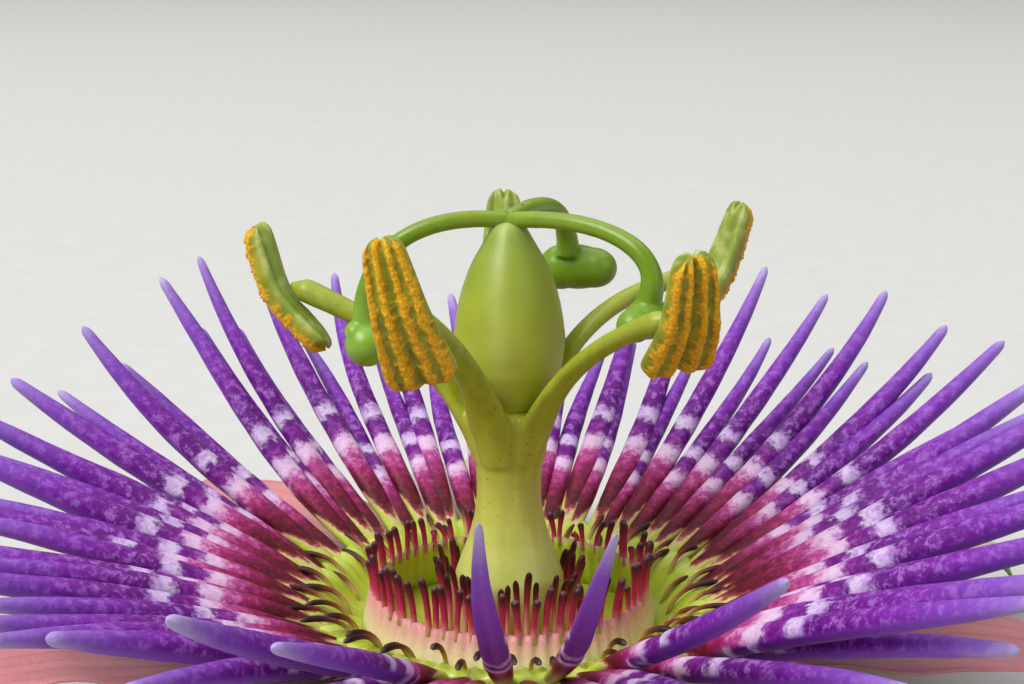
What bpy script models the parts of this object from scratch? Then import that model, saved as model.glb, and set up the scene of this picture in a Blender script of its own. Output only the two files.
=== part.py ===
"""Passion flower, face up, picked just below its calyx cup.

Every organ is one closed solid: the cup, ten tepals, four filament rows of the corona,
the column with five stamens, and the pistil with three styles.
"""

import math

import bmesh
import bpy
from mathutils import Vector

MM = 0.001

# Driving dimensions, in millimetres.
RIM = 9.0                 # height of the cup's rim above the surface it rests on
CUP_RADIUS = 17.5
CUP_FLOOR = RIM - 4.4     # nectar floor inside the cup
STUB_RADIUS = 1.9
COLUMN_TOP = RIM + 14.8
OVARY_BOTTOM = COLUMN_TOP + 0.4
OVARY_TOP = RIM + 30.4
OVARY_RADIUS = 4.6
STAMEN_AZIMUTHS = (21.0, 93.0, 165.0, 241.0, 309.0)
STAMEN_ENDS = (26.1, 26.4, 24.9, 26.9, 25.7)   # filament end above the rim
STAMEN_REACH = 17.3
STRAP_THICKNESS = 1.3
ANTHER_LENGTH = 12.0
ANTHER_WIDTH = 5.6
ANTHER_DEPTH = 2.6
STYLE_AZIMUTHS = (185.0, 325.0, 60.0)
STIGMA_HEIGHTS = (21.1, 24.6, 25.4)            # stigma centre above the rim
STYLE_RADIUS = 1.0
STIGMA_RADIUS = 1.85
TEPAL_START = 17.9
TEPAL_THICKNESS = 1.1
SEPAL_WIDTHS = (10.4, 12.6, 15.6, 17.6, 17.8, 15.6, 11.0, 3.6)
PETAL_WIDTHS = (9.8, 11.8, 14.4, 16.2, 16.0, 13.6, 9.2, 2.8)
SEPAL_REACH = 51.6
PETAL_REACH = 51.0
LONG_FILAMENTS = 38
SHORT_HOOKS = 40
FRINGE_STALKS = 44
INNER_STALKS = 24


def clear_scene():
    """Remove whatever the open file holds."""
    for item in list(bpy.data.objects):
        bpy.data.objects.remove(item, do_unlink=True)


def linear(hex_colour):
    """Turn a hex colour into linear values."""
    values = [int(hex_colour[i:i + 2], 16) / 255 for i in (1, 3, 5)]
    return [v / 12.92 if v <= 0.04045 else ((v + 0.055) / 1.055) ** 2.4 for v in values]


def material(name, hex_colour, roughness, metallic=0.0):
    """A plain Principled material."""
    made = bpy.data.materials.new(name)
    made.use_nodes = True
    shader = made.node_tree.nodes["Principled BSDF"]
    shader.inputs["Base Color"].default_value = (*linear(hex_colour), 1.0)
    shader.inputs["Roughness"].default_value = roughness
    shader.inputs["Metallic"].default_value = metallic
    return made


class Builder:
    """Holds the collection and the empty that every organ is parented to."""

    def __init__(self):
        self.collection = bpy.data.collections.new("passion_flower")
        bpy.context.scene.collection.children.link(self.collection)
        self.root = bpy.data.objects.new("flower_axis", None)
        self.collection.objects.link(self.root)

    def add(self, name, data, made):
        """Link a new object under the flower's axis."""
        item = bpy.data.objects.new(name, data)
        self.collection.objects.link(item)
        item.parent = self.root
        if made.name not in [slot.name for slot in data.materials]:
            data.materials.append(made)
        return item


def smooth(mesh, angle=50.0):
    """Shade a mesh smooth with its sharp edges kept."""
    mesh.shade_smooth()
    mesh.set_sharp_from_angle(angle=math.radians(angle))


def turned(builder, name, profile, steps, made):
    """Turn a profile of (radius, height) points about the flower's axis."""
    mesh = bpy.data.meshes.new(name)
    verts = [(r * MM, 0.0, z * MM) for r, z in profile]
    mesh.from_pydata(verts, [(i, i + 1) for i in range(len(verts) - 1)], [])
    item = builder.add(name, mesh, made)
    screw = item.modifiers.new("turn", "SCREW")
    screw.axis = "Z"
    screw.angle = math.tau
    screw.steps = steps
    screw.render_steps = steps
    screw.use_merge_vertices = True
    screw.merge_threshold = 0.00005
    screw.use_smooth_shade = True
    return item


def section_frame(path, index):
    """Unit travel and up directions in the (radius, height) plane at one path point."""
    before = path[max(index - 1, 0)]
    after = path[min(index + 1, len(path) - 1)]
    along = Vector((after[0] - before[0], after[1] - before[1])).normalized()
    return along, Vector((-along.y, along.x))


def spun_ring(box, count):
    """A ring of rectangular section with two segments for each prong."""
    inner, outer, low, high = box
    bm = bmesh.new()
    corners = [(inner, low), (outer, low), (outer, high), (inner, high)]
    start = math.radians(-90.0 / count)
    verts = []
    for r, z in corners:
        x, y = r * math.cos(start), r * math.sin(start)
        verts.append(bm.verts.new((x * MM, y * MM, z * MM)))
    edges = [bm.edges.new((verts[i], verts[(i + 1) % 4])) for i in range(4)]
    bmesh.ops.spin(
        bm, geom=verts + edges, cent=(0, 0, 0), axis=(0, 0, 1),
        angle=math.tau, steps=count * 2, use_merge=True,
    )
    bmesh.ops.remove_doubles(bm, verts=bm.verts, dist=0.00001)
    bmesh.ops.recalc_face_normals(bm, faces=bm.faces)
    return bm


def prong_faces(bm, box, from_top, count):
    """The ring's outer or top faces that prongs grow from, every second one."""
    inner, outer, low, high = box
    radius = (inner + outer) / 2 if from_top else outer
    height = high if from_top else (low + high) / 2
    chosen = {}
    for face in bm.faces:
        middle = face.calc_center_median() / MM
        turn = math.degrees(math.atan2(middle.y, middle.x)) % 360
        slot = turn * count / 360
        level = abs(middle.z - height) < 0.05
        reach = abs(math.hypot(middle.x, middle.y) - radius) < 0.12
        if level and reach and abs(slot - round(slot)) < 0.1:
            chosen[round(slot) % count] = face
    return chosen


def grow_prongs(bm, faces, start, path, stretch):
    """Extrude each chosen face along the path, shaping a tapering prong."""
    line = [start[:2]] + [point[:2] for point in path]
    count = len(faces)
    for index, (radius, height, width, depth) in enumerate(path, start=1):
        _, up = section_frame(line, index)
        _, last_up = section_frame(line, index - 1) if index > 1 else (None, start[2])
        order = sorted(faces)
        grown = {}
        for slot in order:
            turn = math.tau * slot / count
            out = Vector((math.cos(turn), math.sin(turn), 0.0))
            side = Vector((-out.y, out.x, 0.0))
            rise = out * last_up.x + Vector((0, 0, last_up.y))
            face = bmesh.ops.extrude_discrete_faces(bm, faces=[faces[slot]])["faces"][0]
            middle = face.calc_center_median()
            scale = 1.0 + stretch(slot) * index / len(path)
            reach = line[0][0] + (radius - line[0][0]) * scale
            lift = line[0][1] + (height - line[0][1]) * scale
            new_rise = out * up.x + Vector((0, 0, up.y))
            centre = out * reach + Vector((0, 0, lift))
            for vert in face.verts:
                offset = vert.co - middle
                across = math.copysign(width / 2, offset.dot(side))
                above = math.copysign(depth / 2, offset.dot(rise))
                vert.co = (centre + side * across + new_rise * above) * MM
            grown[slot] = face
        faces = grown


def pronged_ring(builder, name, box, count, path, made, from_top=False, turn=0.0, vary=0.0):
    """A corona row: a narrow ring with prongs along its outer or top side."""
    bm = spun_ring(box, count)
    faces = prong_faces(bm, box, from_top, count)
    inner, outer, low, high = box
    if from_top:
        start = ((inner + outer) / 2, high, Vector((-1.0, 0.0)))
    else:
        start = (outer, (low + high) / 2, Vector((0.0, 1.0)))
    grow_prongs(bm, faces, start, path, lambda slot: vary * math.sin(slot * 2.4))
    mesh = bpy.data.meshes.new(name)
    bm.to_mesh(mesh)
    bm.free()
    item = builder.add(name, mesh, made)
    item.rotation_euler = (0.0, 0.0, math.radians(turn))
    smooth(mesh)
    return item


def tepal_height(u, droop):
    """Height of a tepal's middle line at u from 0 at its foot to 1 at its tip."""
    return RIM - 1.7 - 0.9 * math.sin(math.pi * min(1.0, u * 1.6)) + 0.5 * u - droop * u ** 3


def tepal(builder, name, azimuth, widths, reach, droop, made):
    """One strap-shaped tepal: an open curved sheet made a shell with Solidify."""
    rows, columns = len(widths), 4
    bm = bmesh.new()
    grid = []
    for row, width in enumerate(widths):
        u = row / (rows - 1)
        radius = TEPAL_START + (reach - TEPAL_START) * u
        line = []
        for column in range(columns + 1):
            v = column / columns * 2 - 1
            bend = radius - 1.2 * u * v * v
            height = tepal_height(u, droop) + 1.1 * v * v * math.sin(math.pi * u) * 0.6
            line.append(bm.verts.new((bend * MM, v * width / 2 * MM, height * MM)))
        grid.append(line)
    for lower, upper in zip(grid, grid[1:]):
        for i in range(columns):
            bm.faces.new((lower[i], upper[i], upper[i + 1], lower[i + 1]))
    bmesh.ops.recalc_face_normals(bm, faces=bm.faces)
    mesh = bpy.data.meshes.new(name)
    bm.to_mesh(mesh)
    bm.free()
    item = builder.add(name, mesh, made)
    item.rotation_euler = (0.0, 0.0, math.radians(azimuth))
    shell = item.modifiers.new("thickness", "SOLIDIFY")
    shell.thickness = TEPAL_THICKNESS * MM
    shell.offset = 0.0
    shell.use_even_offset = False
    smooth(mesh)
    return item


def strap_path(end_height):
    """(radius, height, width) along a stamen's filament, foot first."""
    top, end = COLUMN_TOP, RIM + end_height
    rise = end - top
    return (
        (4.35, top - 0.2, 3.7),
        (6.3, top + 0.14 * rise, 3.4),
        (9.4, top + 0.38 * rise, 2.9),
        (13.2, top + 0.72 * rise, 2.5),
        (STAMEN_REACH, end, 2.1),
    )


def stamen_filament(builder, name, azimuth, end_height, made):
    """The strap that carries an anther: a narrow sheet made a shell with Solidify."""
    bm = bmesh.new()
    rows = []
    for radius, height, width in strap_path(end_height):
        rows.append([
            bm.verts.new((radius * MM, v * width / 2 * MM, height * MM))
            for v in (-1.0, 0.0, 1.0)
        ])
    for lower, upper in zip(rows, rows[1:]):
        for i in range(2):
            bm.faces.new((lower[i], upper[i], upper[i + 1], lower[i + 1]))
    bmesh.ops.recalc_face_normals(bm, faces=bm.faces)
    mesh = bpy.data.meshes.new(name)
    bm.to_mesh(mesh)
    bm.free()
    item = builder.add(name, mesh, made)
    item.rotation_euler = (0.0, 0.0, math.radians(azimuth))
    shell = item.modifiers.new("thickness", "SOLIDIFY")
    shell.thickness = STRAP_THICKNESS * MM
    shell.offset = 0.0
    smooth(mesh)
    return item


def anther_cage():
    """Coarse cage of a two-lobed anther: long axis up, pollen side towards +X, bowed."""
    bm = bmesh.new()
    bmesh.ops.create_cube(bm, size=1.0)
    bmesh.ops.scale(
        bm, verts=bm.verts, vec=(ANTHER_DEPTH * MM, ANTHER_WIDTH * MM, ANTHER_LENGTH * MM)
    )
    for axis, cuts in (((0, 0, 1), (-0.30, 0.0, 0.30)), ((0, 1, 0), (0.0,))):
        span = ANTHER_LENGTH if axis[2] else ANTHER_WIDTH
        for cut in cuts:
            bmesh.ops.bisect_plane(
                bm, geom=bm.verts[:] + bm.edges[:] + bm.faces[:],
                plane_co=Vector(axis) * cut * span * MM, plane_no=axis,
            )
    half = ANTHER_LENGTH / 2 * MM
    for vert in bm.verts:
        groove = 0.5 * MM if abs(vert.co.y) < 0.1 * MM else 0.0
        vert.co.x -= math.copysign(groove, vert.co.x)
        vert.co.x -= 1.3 * MM * (vert.co.z / half) ** 2
    return bm


def anther_mesh(made):
    """The mesh that the five anthers share."""
    bm = anther_cage()
    mesh = bpy.data.meshes.new("anther_shape")
    bm.to_mesh(mesh)
    bm.free()
    mesh.materials.append(made)
    mesh.shade_smooth()
    return mesh


def anther(builder, name, mesh, made, azimuth, end_height, lean_out, lean_side):
    """Place one anther on the end of its filament, pollen side outward."""
    item = builder.add(name, mesh, made)
    turn = math.radians(azimuth)
    radius = STAMEN_REACH + 1.9
    item.location = (
        radius * math.cos(turn) * MM, radius * math.sin(turn) * MM, (RIM + end_height) * MM
    )
    item.rotation_mode = "XYZ"
    item.rotation_euler = (math.radians(lean_side), math.radians(lean_out), turn)
    rounding = item.modifiers.new("rounding", "SUBSURF")
    rounding.levels = 1
    rounding.render_levels = 1
    return item


def style_path(stigma_height):
    """(radius, height, thickness) from the ovary's tip to the end of the stigma."""
    end = RIM + stigma_height
    top = RIM + 31.8
    fall = top - end
    return (
        (1.35, top - 0.1, STYLE_RADIUS),
        (4.4, top + 0.2, STYLE_RADIUS),
        (7.8, top - 0.10 * fall, STYLE_RADIUS),
        (10.4, top - 0.30 * fall, STYLE_RADIUS),
        (12.2, top - 0.56 * fall, STYLE_RADIUS),
        (12.9, top - 0.78 * fall, STYLE_RADIUS * 1.1),
        (13.1, end + 1.2, STIGMA_RADIUS * 0.9),
        (13.1, end - 0.2, STIGMA_RADIUS),
        (12.9, end - 1.9, STIGMA_RADIUS * 0.6),
    )


def style(builder, name, azimuth, stigma_height, made):
    """One style with its swollen stigma: a bevelled curve whose radius grows at the end."""
    curve = bpy.data.curves.new(name, "CURVE")
    curve.dimensions = "3D"
    curve.bevel_depth = 1.0 * MM
    curve.bevel_resolution = 2
    curve.use_fill_caps = True
    path = style_path(stigma_height)
    spline = curve.splines.new("POLY")
    spline.points.add(len(path) - 1)
    for point, (radius, height, thickness) in zip(spline.points, path):
        point.co = (radius * MM, 0.0, height * MM, 1.0)
        point.radius = thickness
    item = builder.add(name, curve, made)
    item.rotation_euler = (0.0, 0.0, math.radians(azimuth))
    return item


def calyx_cup(builder, made):
    """The fleshy cup: nectar floor, sloping inner wall, rim, and a dimpled broad base."""
    profile = (
        (0.0, CUP_FLOOR), (7.5, CUP_FLOOR), (12.4, CUP_FLOOR + 0.3), (14.9, RIM - 2.2),
        (16.2, RIM - 0.7), (17.1, RIM), (CUP_RADIUS, RIM - 0.3), (CUP_RADIUS, RIM - 2.2),
        (16.6, RIM - 4.6), (13.6, RIM - 7.0), (10.4, RIM - 8.4), (8.2, RIM - 9.0),
        (5.6, RIM - 9.0), (3.4, RIM - 7.6), (2.5, RIM - 6.2), (0.0, RIM - 6.2),
    )
    turned(builder, "calyx_cup", profile, 32, made)


def peduncle_stub(builder, made):
    """The flower's stalk, cut flush with the cup's base."""
    bpy.ops.mesh.primitive_cylinder_add(vertices=16, radius=STUB_RADIUS * MM, depth=2.2 * MM)
    item = bpy.context.object
    item.name = "peduncle_stub"
    item.data.name = "peduncle_stub"
    for owner in list(item.users_collection):
        owner.objects.unlink(item)
    builder.collection.objects.link(item)
    item.parent = builder.root
    item.location = (0.0, 0.0, 1.35 * MM)
    item.data.materials.append(made)
    smooth(item.data)


def column(builder, made):
    """The column that lifts stamens and ovary: flared foot, waist and widening top."""
    profile = (
        (0.0, COLUMN_TOP), (3.7, COLUMN_TOP), (3.9, COLUMN_TOP - 0.5), (3.2, RIM + 12.4),
        (2.8, RIM + 9.6), (2.75, RIM + 7.6), (3.2, RIM + 4.4), (4.3, RIM + 1.2),
        (4.9, RIM - 1.4), (5.2, RIM - 4.1), (0.0, RIM - 4.1),
    )
    turned(builder, "column", profile, 24, made)


def ovary(builder, made):
    """The egg-shaped ovary, widest a little above its middle."""
    bottom, height, widest = OVARY_BOTTOM, OVARY_TOP - OVARY_BOTTOM, OVARY_RADIUS
    shape = (
        (0.0, 1.0), (0.22, 0.985), (0.50, 0.92), (0.80, 0.78), (0.97, 0.60), (1.0, 0.46),
        (0.93, 0.30), (0.74, 0.14), (0.52, 0.03), (0.44, 0.0), (0.0, 0.0),
    )
    profile = [(r * widest, bottom + z * height) for r, z in shape]
    turned(builder, "ovary", profile, 20, made)


def corona(builder, outer_made, hook_made, fringe_made, inner_made):
    """The corona's rows, from the long outer filaments to the fringe round the column."""
    pronged_ring(
        builder, "corona_outer_row", (16.4, 17.6, RIM + 0.3, RIM + 1.2), LONG_FILAMENTS,
        ((24.5, RIM + 4.3, 2.3, 1.6), (36.0, RIM + 10.4, 2.2, 1.8), (47.3, RIM + 18.0, 0.9, 0.8)),
        outer_made, vary=0.03,
    )
    pronged_ring(
        builder, "corona_second_row", (15.0, 16.1, RIM - 0.3, RIM + 1.5), LONG_FILAMENTS,
        ((18.2, RIM + 3.8, 1.5, 1.2), (27.5, RIM + 9.2, 1.8, 1.5), (40.5, RIM + 17.0, 0.7, 0.7)),
        outer_made, from_top=True, turn=180.0 / LONG_FILAMENTS, vary=0.04,
    )
    pronged_ring(
        builder, "corona_hooks", (13.5, 14.7, RIM - 1.8, RIM - 0.5), SHORT_HOOKS,
        ((14.4, RIM + 2.2, 0.9, 0.6), (15.8, RIM + 4.7, 0.8, 0.7), (18.6, RIM + 6.1, 0.7, 0.6)),
        hook_made, from_top=True, turn=2.0,
    )
    pronged_ring(
        builder, "operculum_fringe", (11.3, 12.3, RIM - 3.7, RIM - 1.1), FRINGE_STALKS,
        ((12.0, RIM + 3.3, 0.7, 0.6),),
        fringe_made, from_top=True,
    )
    pronged_ring(
        builder, "inner_fringe", (5.6, 6.5, RIM - 4.1, RIM - 0.8), INNER_STALKS,
        ((6.4, RIM + 2.4, 0.7, 0.6),),
        inner_made, from_top=True,
    )


def tepals(builder, sepal_made, petal_made):
    """Five sepals under the stamens and five petals between them."""
    for number, azimuth in enumerate((21.0, 93.0, 165.0, 237.0, 309.0), start=1):
        tepal(builder, f"sepal_{number}", azimuth, SEPAL_WIDTHS, SEPAL_REACH, 2.2, sepal_made)
        tepal(
            builder, f"petal_{number}", azimuth + 36.0, PETAL_WIDTHS, PETAL_REACH, 1.4, petal_made
        )


def stamens(builder, filament_made, anther_made):
    """Five strap filaments with their anthers."""
    leans = ((18.0, -10.0), (14.0, 6.0), (24.0, 6.0), (8.0, 14.0), (10.0, -10.0))
    shape = anther_mesh(anther_made)
    rows = zip(STAMEN_AZIMUTHS, STAMEN_ENDS, leans)
    for number, (azimuth, end_height, lean) in enumerate(rows, start=1):
        name = f"stamen_filament_{number}"
        stamen_filament(builder, name, azimuth, end_height, filament_made)
        anther(
            builder, f"anther_{number}", shape, anther_made, azimuth, end_height - 0.4, *lean
        )


def styles(builder, made):
    """Three styles arching from the ovary's tip."""
    for number, (azimuth, height) in enumerate(zip(STYLE_AZIMUTHS, STIGMA_HEIGHTS), start=1):
        style(builder, f"style_{number}", azimuth, height, made)


def main():
    clear_scene()
    builder = Builder()
    green = material("green_tissue", "#B5C24A", 0.42)
    calyx_cup(builder, material("cup_flesh", "#A9C23C", 0.35))
    peduncle_stub(builder, material("stalk", "#7E9A3A", 0.5))
    tepals(
        builder, material("sepal_inside", "#E6DCCB", 0.5), material("petal_inside", "#C97C7C", 0.5)
    )
    corona(
        builder, material("corona_violet", "#7A2EAE", 0.5), material("hook_maroon", "#3A161A", 0.5),
        material("fringe_crimson", "#A81E46", 0.45), material("inner_maroon", "#5A0A1E", 0.5),
    )
    column(builder, green)
    stamens(builder, green, material("pollen", "#D99A10", 0.75))
    ovary(builder, material("ovary_skin", "#9DAA3C", 0.4))
    styles(builder, material("style_green", "#6F9A1E", 0.38))


main()
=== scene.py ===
"""Passion flower: the fine surface of every organ, its finishes, the floor, lights and camera.

Lengths inside the functions are in millimetres and are turned to metres where vertices are
made. Heights are counted from the rim of the calyx cup.
"""

import math
import random

import bmesh
import bpy
from bpy.props import FloatProperty, FloatVectorProperty, IntProperty, PointerProperty
from mathutils import Matrix, Vector, noise


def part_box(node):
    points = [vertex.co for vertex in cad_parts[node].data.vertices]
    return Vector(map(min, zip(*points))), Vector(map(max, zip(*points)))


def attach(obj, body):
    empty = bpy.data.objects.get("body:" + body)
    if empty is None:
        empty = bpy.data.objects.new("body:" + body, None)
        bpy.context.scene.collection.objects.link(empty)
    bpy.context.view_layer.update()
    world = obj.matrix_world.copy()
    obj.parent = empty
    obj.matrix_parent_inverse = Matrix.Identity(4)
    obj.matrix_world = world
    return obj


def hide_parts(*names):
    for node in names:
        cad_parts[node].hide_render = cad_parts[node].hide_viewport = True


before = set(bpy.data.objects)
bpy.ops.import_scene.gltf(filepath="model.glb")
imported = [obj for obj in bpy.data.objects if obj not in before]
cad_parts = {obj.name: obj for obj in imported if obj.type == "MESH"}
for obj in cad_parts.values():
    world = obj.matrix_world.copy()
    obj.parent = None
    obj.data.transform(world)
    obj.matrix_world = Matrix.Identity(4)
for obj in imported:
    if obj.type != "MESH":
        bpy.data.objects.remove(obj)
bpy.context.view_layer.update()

bl_info = {
    "name": "Passion flower",
    "version": (1, 0, 0),
    "blender": (4, 5, 0),
    "location": "View3D > Sidebar > Passion flower",
    "description": "Builds an open passion flower organ by organ over its packed frame",
    "category": "Object",
}

MM = 0.001
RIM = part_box("calyx_cup")[1][2] / MM             # the cup's rim above the floor
COLUMN_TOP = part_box("column")[1][2] / MM - RIM   # above the rim
TEPAL_FOOT = 17.9                                # where the tepals leave the cup's wall
KNEE_RADIUS = 25.3       # where the long filaments turn up, at their white bands
SLOPE_START = 12.3       # radius where the bowl's slope begins to follow the nodding rim
SLOPE_RUN = 4.5          # how far out it takes to follow it fully
FRINGE_RISE = 1.3        # how much higher the fringe stands behind than in front
BODY_SEED = 0.5          # the seed value of pieces that need no variation of their own
LENS, SENSOR = 70.3, 36.0                        # camera
CAMERA_ASIDE, CAMERA_AWAY, CAMERA_UP = 0.25, 164.4, 54.9    # from the axis, above the rim
CAMERA_TILT = 11.75                              # degrees down


def linear(hex_colour):
    """Turn an sRGB hex colour into linear red, green and blue."""
    parts = [int(hex_colour[i:i + 2], 16) / 255 for i in (1, 3, 5)]
    return tuple(v / 12.92 if v <= 0.04045 else ((v + 0.055) / 1.055) ** 2.4 for v in parts)


# ---------------------------------------------------------------- sizes and colours


class FlowerSizes(bpy.types.PropertyGroup):
    """Sizes of the flower's organs."""

    long_filaments: IntProperty(
        name="Long filaments", description="Filaments in each of the two long rows",
        default=38, min=12, max=60,
    )
    filament_width: FloatProperty(
        name="Filament width", description="Width of a long filament at its middle",
        default=0.0025, unit="LENGTH", precision=4,
    )
    hooks: IntProperty(
        name="Hooks", description="Hooked filaments in each of their two rows",
        default=26, min=10, max=60,
    )
    fringe_stalks: IntProperty(
        name="Fringe stalks", description="Stalks along the operculum's edge",
        default=66, min=10, max=90,
    )
    ovary_width: FloatProperty(
        name="Ovary width", description="Greatest width of the ovary",
        default=0.0094, unit="LENGTH", precision=4,
    )
    style_width: FloatProperty(
        name="Style width", description="Thickness of a style at its middle",
        default=0.00155, unit="LENGTH", precision=4,
    )
    anther_length: FloatProperty(
        name="Anther length", description="Length of an anther, end to end",
        default=0.0124, unit="LENGTH", precision=4,
    )
    sepal_width: FloatProperty(
        name="Sepal width", description="Greatest width of a sepal",
        default=0.0178, unit="LENGTH", precision=4,
    )
    petal_width: FloatProperty(
        name="Petal width", description="Greatest width of a petal",
        default=0.0162, unit="LENGTH", precision=4,
    )


class FlowerColours(bpy.types.PropertyGroup):
    """Main colours of the flower's organs."""

    chartreuse: FloatVectorProperty(
        name="Chartreuse", description="Foot of the long filaments and the nectar bowl",
        subtype="COLOR", min=0, max=1, default=linear("#B8CC38"),
    )
    maroon: FloatVectorProperty(
        name="Maroon", description="Dark band near the long filaments' feet",
        subtype="COLOR", min=0, max=1, default=linear("#520618"),
    )
    violet: FloatVectorProperty(
        name="Violet", description="Long filaments beyond their bands",
        subtype="COLOR", min=0, max=1, default=linear("#8026A6"),
    )
    # The petals' pink is partly their own colour and partly painted light: it is lighter than the
    # tissue, to offset the crown's shadow that falls on the petals.
    petal: FloatVectorProperty(
        name="Petal", description="Inner face of the petals",
        subtype="COLOR", min=0, max=1, default=linear("#E89C98"),
    )
    pollen: FloatVectorProperty(
        name="Pollen", description="Pollen grains on the anthers",
        subtype="COLOR", min=0, max=1, default=linear("#E0A814"),
    )


# ---------------------------------------------------------------- mesh tools


LAYERS = ("along", "upper", "seed")


class Skin:
    """One mesh of lofted bodies, with per-point values that the finishes read.

    along runs from an organ's foot to its tip, upper is 1 on the face towards the column,
    and seed differs from one body to the next.
    """

    def __init__(self):
        self.bm = bmesh.new()
        self.layers = [self.bm.verts.layers.float.new(name) for name in LAYERS]

    def point(self, place, values):
        vert = self.bm.verts.new(place * MM)
        for layer, value in zip(self.layers, values):
            vert[layer] = value
        return vert

    def wall(self, rings):
        """Join closed rings of points, one to the next."""
        size = len(rings[0])
        for low, high in zip(rings, rings[1:]):
            for i in range(size):
                j = (i + 1) % size
                self.bm.faces.new((low[i], low[j], high[j], high[i]))

    def cap(self, ring, middle, values, flip):
        """Close a ring with triangles round a point in its middle."""
        hub = self.point(middle, values)
        for i, vert in enumerate(ring):
            pair = (vert, ring[(i + 1) % len(ring)])
            self.bm.faces.new((hub, *(pair[::-1] if flip else pair)))

    def loft(self, rows, seed=0.0):
        """Join rows of (along, [(point, upper), ...]) into a closed body."""
        made = [
            [self.point(place, (along, upper, seed)) for place, upper in loop]
            for along, loop in rows
        ]
        self.wall(made)
        for (along, loop), ring, flip in ((rows[0], made[0], True), (rows[-1], made[-1], False)):
            middle = sum((place for place, _ in loop), Vector()) / len(loop)
            self.cap(ring, middle, (along, 0.5, seed), flip)

    def tube(self, stations, sides, seed=0.0):
        """Loft a round or flattened tube through (centre, across, up, w, d, along)."""
        rows = []
        for centre, across, up, half_width, half_depth, along in stations:
            loop = []
            for i in range(sides):
                turn = math.tau * i / sides
                offset = across * math.cos(turn) * half_width + up * math.sin(turn) * half_depth
                loop.append((centre + offset, 0.5 + 0.5 * math.sin(turn)))
            rows.append((along, loop))
        self.loft(rows, seed)

    def retone(self, start, layer, rule):
        """Change one value of every point added since the mesh had start points."""
        self.bm.verts.ensure_lookup_table()
        key = self.layers[LAYERS.index(layer)]
        for vert in self.bm.verts[start:]:
            vert[key] = rule(vert[key])

    def finish(self, name, finish, nodes, slot, smoothing=0):
        """Turn the bodies into one smooth object that stands for the named CAD nodes."""
        bmesh.ops.recalc_face_normals(self.bm, faces=self.bm.faces)
        mesh = bpy.data.meshes.new(name)
        self.bm.to_mesh(mesh)
        self.bm.free()
        item = bpy.data.objects.new(name, mesh)
        bpy.context.scene.collection.objects.link(item)
        mesh.materials.append(finish)
        mesh.shade_smooth()
        if smoothing:
            rounding = item.modifiers.new("rounding", "SUBSURF")
            rounding.levels = smoothing
            rounding.render_levels = smoothing
        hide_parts(*nodes)
        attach(item, "root")
        return item


def soften(item, rounds):
    """Even out a mesh's surface in a few rounds."""
    even = item.modifiers.new("softened", "SMOOTH")
    even.factor = 0.5
    even.iterations = rounds


def fuse(item, voxel_mm, rounds):
    """Fuse overlapping bodies of one mesh into a single skin and soften the joins."""
    remesh = item.modifiers.new("fused", "REMESH")
    remesh.mode = "VOXEL"
    remesh.voxel_size = voxel_mm * MM
    remesh.use_smooth_shade = True
    soften(item, rounds)
    graph = bpy.context.evaluated_depsgraph_get()
    mesh = bpy.data.meshes.new_from_object(item.evaluated_get(graph))
    old = item.data
    item.modifiers.clear()
    item.data = mesh
    mesh.name = old.name
    mesh.shade_smooth()
    bpy.data.meshes.remove(old)


def bezier(points, t):
    """Point at t on a cubic curve through its four control vectors."""
    a, b, c, d = points
    s = 1.0 - t
    return a * s ** 3 + b * (3 * s * s * t) + c * (3 * s * t * t) + d * t ** 3


def straight(table, x, eased=False):
    """Read a value at x from rising (x, value) pairs, straight or eased between them."""
    for (x0, y0), (x1, y1) in zip(table, table[1:]):
        if x <= x1:
            t = max(0.0, min(1.0, (x - x0) / (x1 - x0)))
            return y0 + (y1 - y0) * (t * t * (3 - 2 * t) if eased else t)
    return table[-1][1]


def between(table, x):
    """Read a value at x from rising (x, value) pairs, eased between them."""
    return straight(table, x, eased=True)


def polar(azimuth, radius, height, sideways=0.0):
    """A point from its azimuth in degrees, radius, height above the rim and side offset."""
    turn = math.radians(azimuth)
    out = Vector((math.cos(turn), math.sin(turn), 0.0))
    across = Vector((-out.y, out.x, 0.0))
    return out * radius + across * sideways + Vector((0.0, 0.0, RIM + height))


def dip(azimuth):
    """How far the cup's rim sinks towards the front, where the crown nods."""
    return -1.2 * (1.0 - math.sin(math.radians(azimuth)))


def slope_dip(azimuth, radius):
    """How far the bowl's slope sinks at this radius, level on the floor, full at the rim."""
    return dip(azimuth) * max(0.0, min(1.0, (radius - SLOPE_START) / SLOPE_RUN))


def fringe_rise(azimuth):
    """How much higher the operculum's edge stands here than at the front."""
    return FRINGE_RISE * (1.0 + math.sin(math.radians(azimuth))) / 2


def run_frames(points, azimuth):
    """Across and up directions at each point of a path that leaves the axis at azimuth."""
    turn = math.radians(azimuth)
    level = Vector((-math.sin(turn), math.cos(turn), 0.0))
    frames = []
    for i in range(len(points)):
        along = (points[min(i + 1, len(points) - 1)] - points[max(i - 1, 0)]).normalized()
        across = (level - along * level.dot(along)).normalized()
        frames.append((across, along.cross(across).normalized()))
    return frames


def rounded_end(t, end=0.03):
    """Scale that rounds a tube off over the last part of its length."""
    if t < 1.0 - end:
        return 1.0
    x = (t - (1.0 - end)) / end
    return max(0.12, math.sqrt(max(0.0, 1.0 - x * x)))


# ---------------------------------------------------------------- finishes


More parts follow.
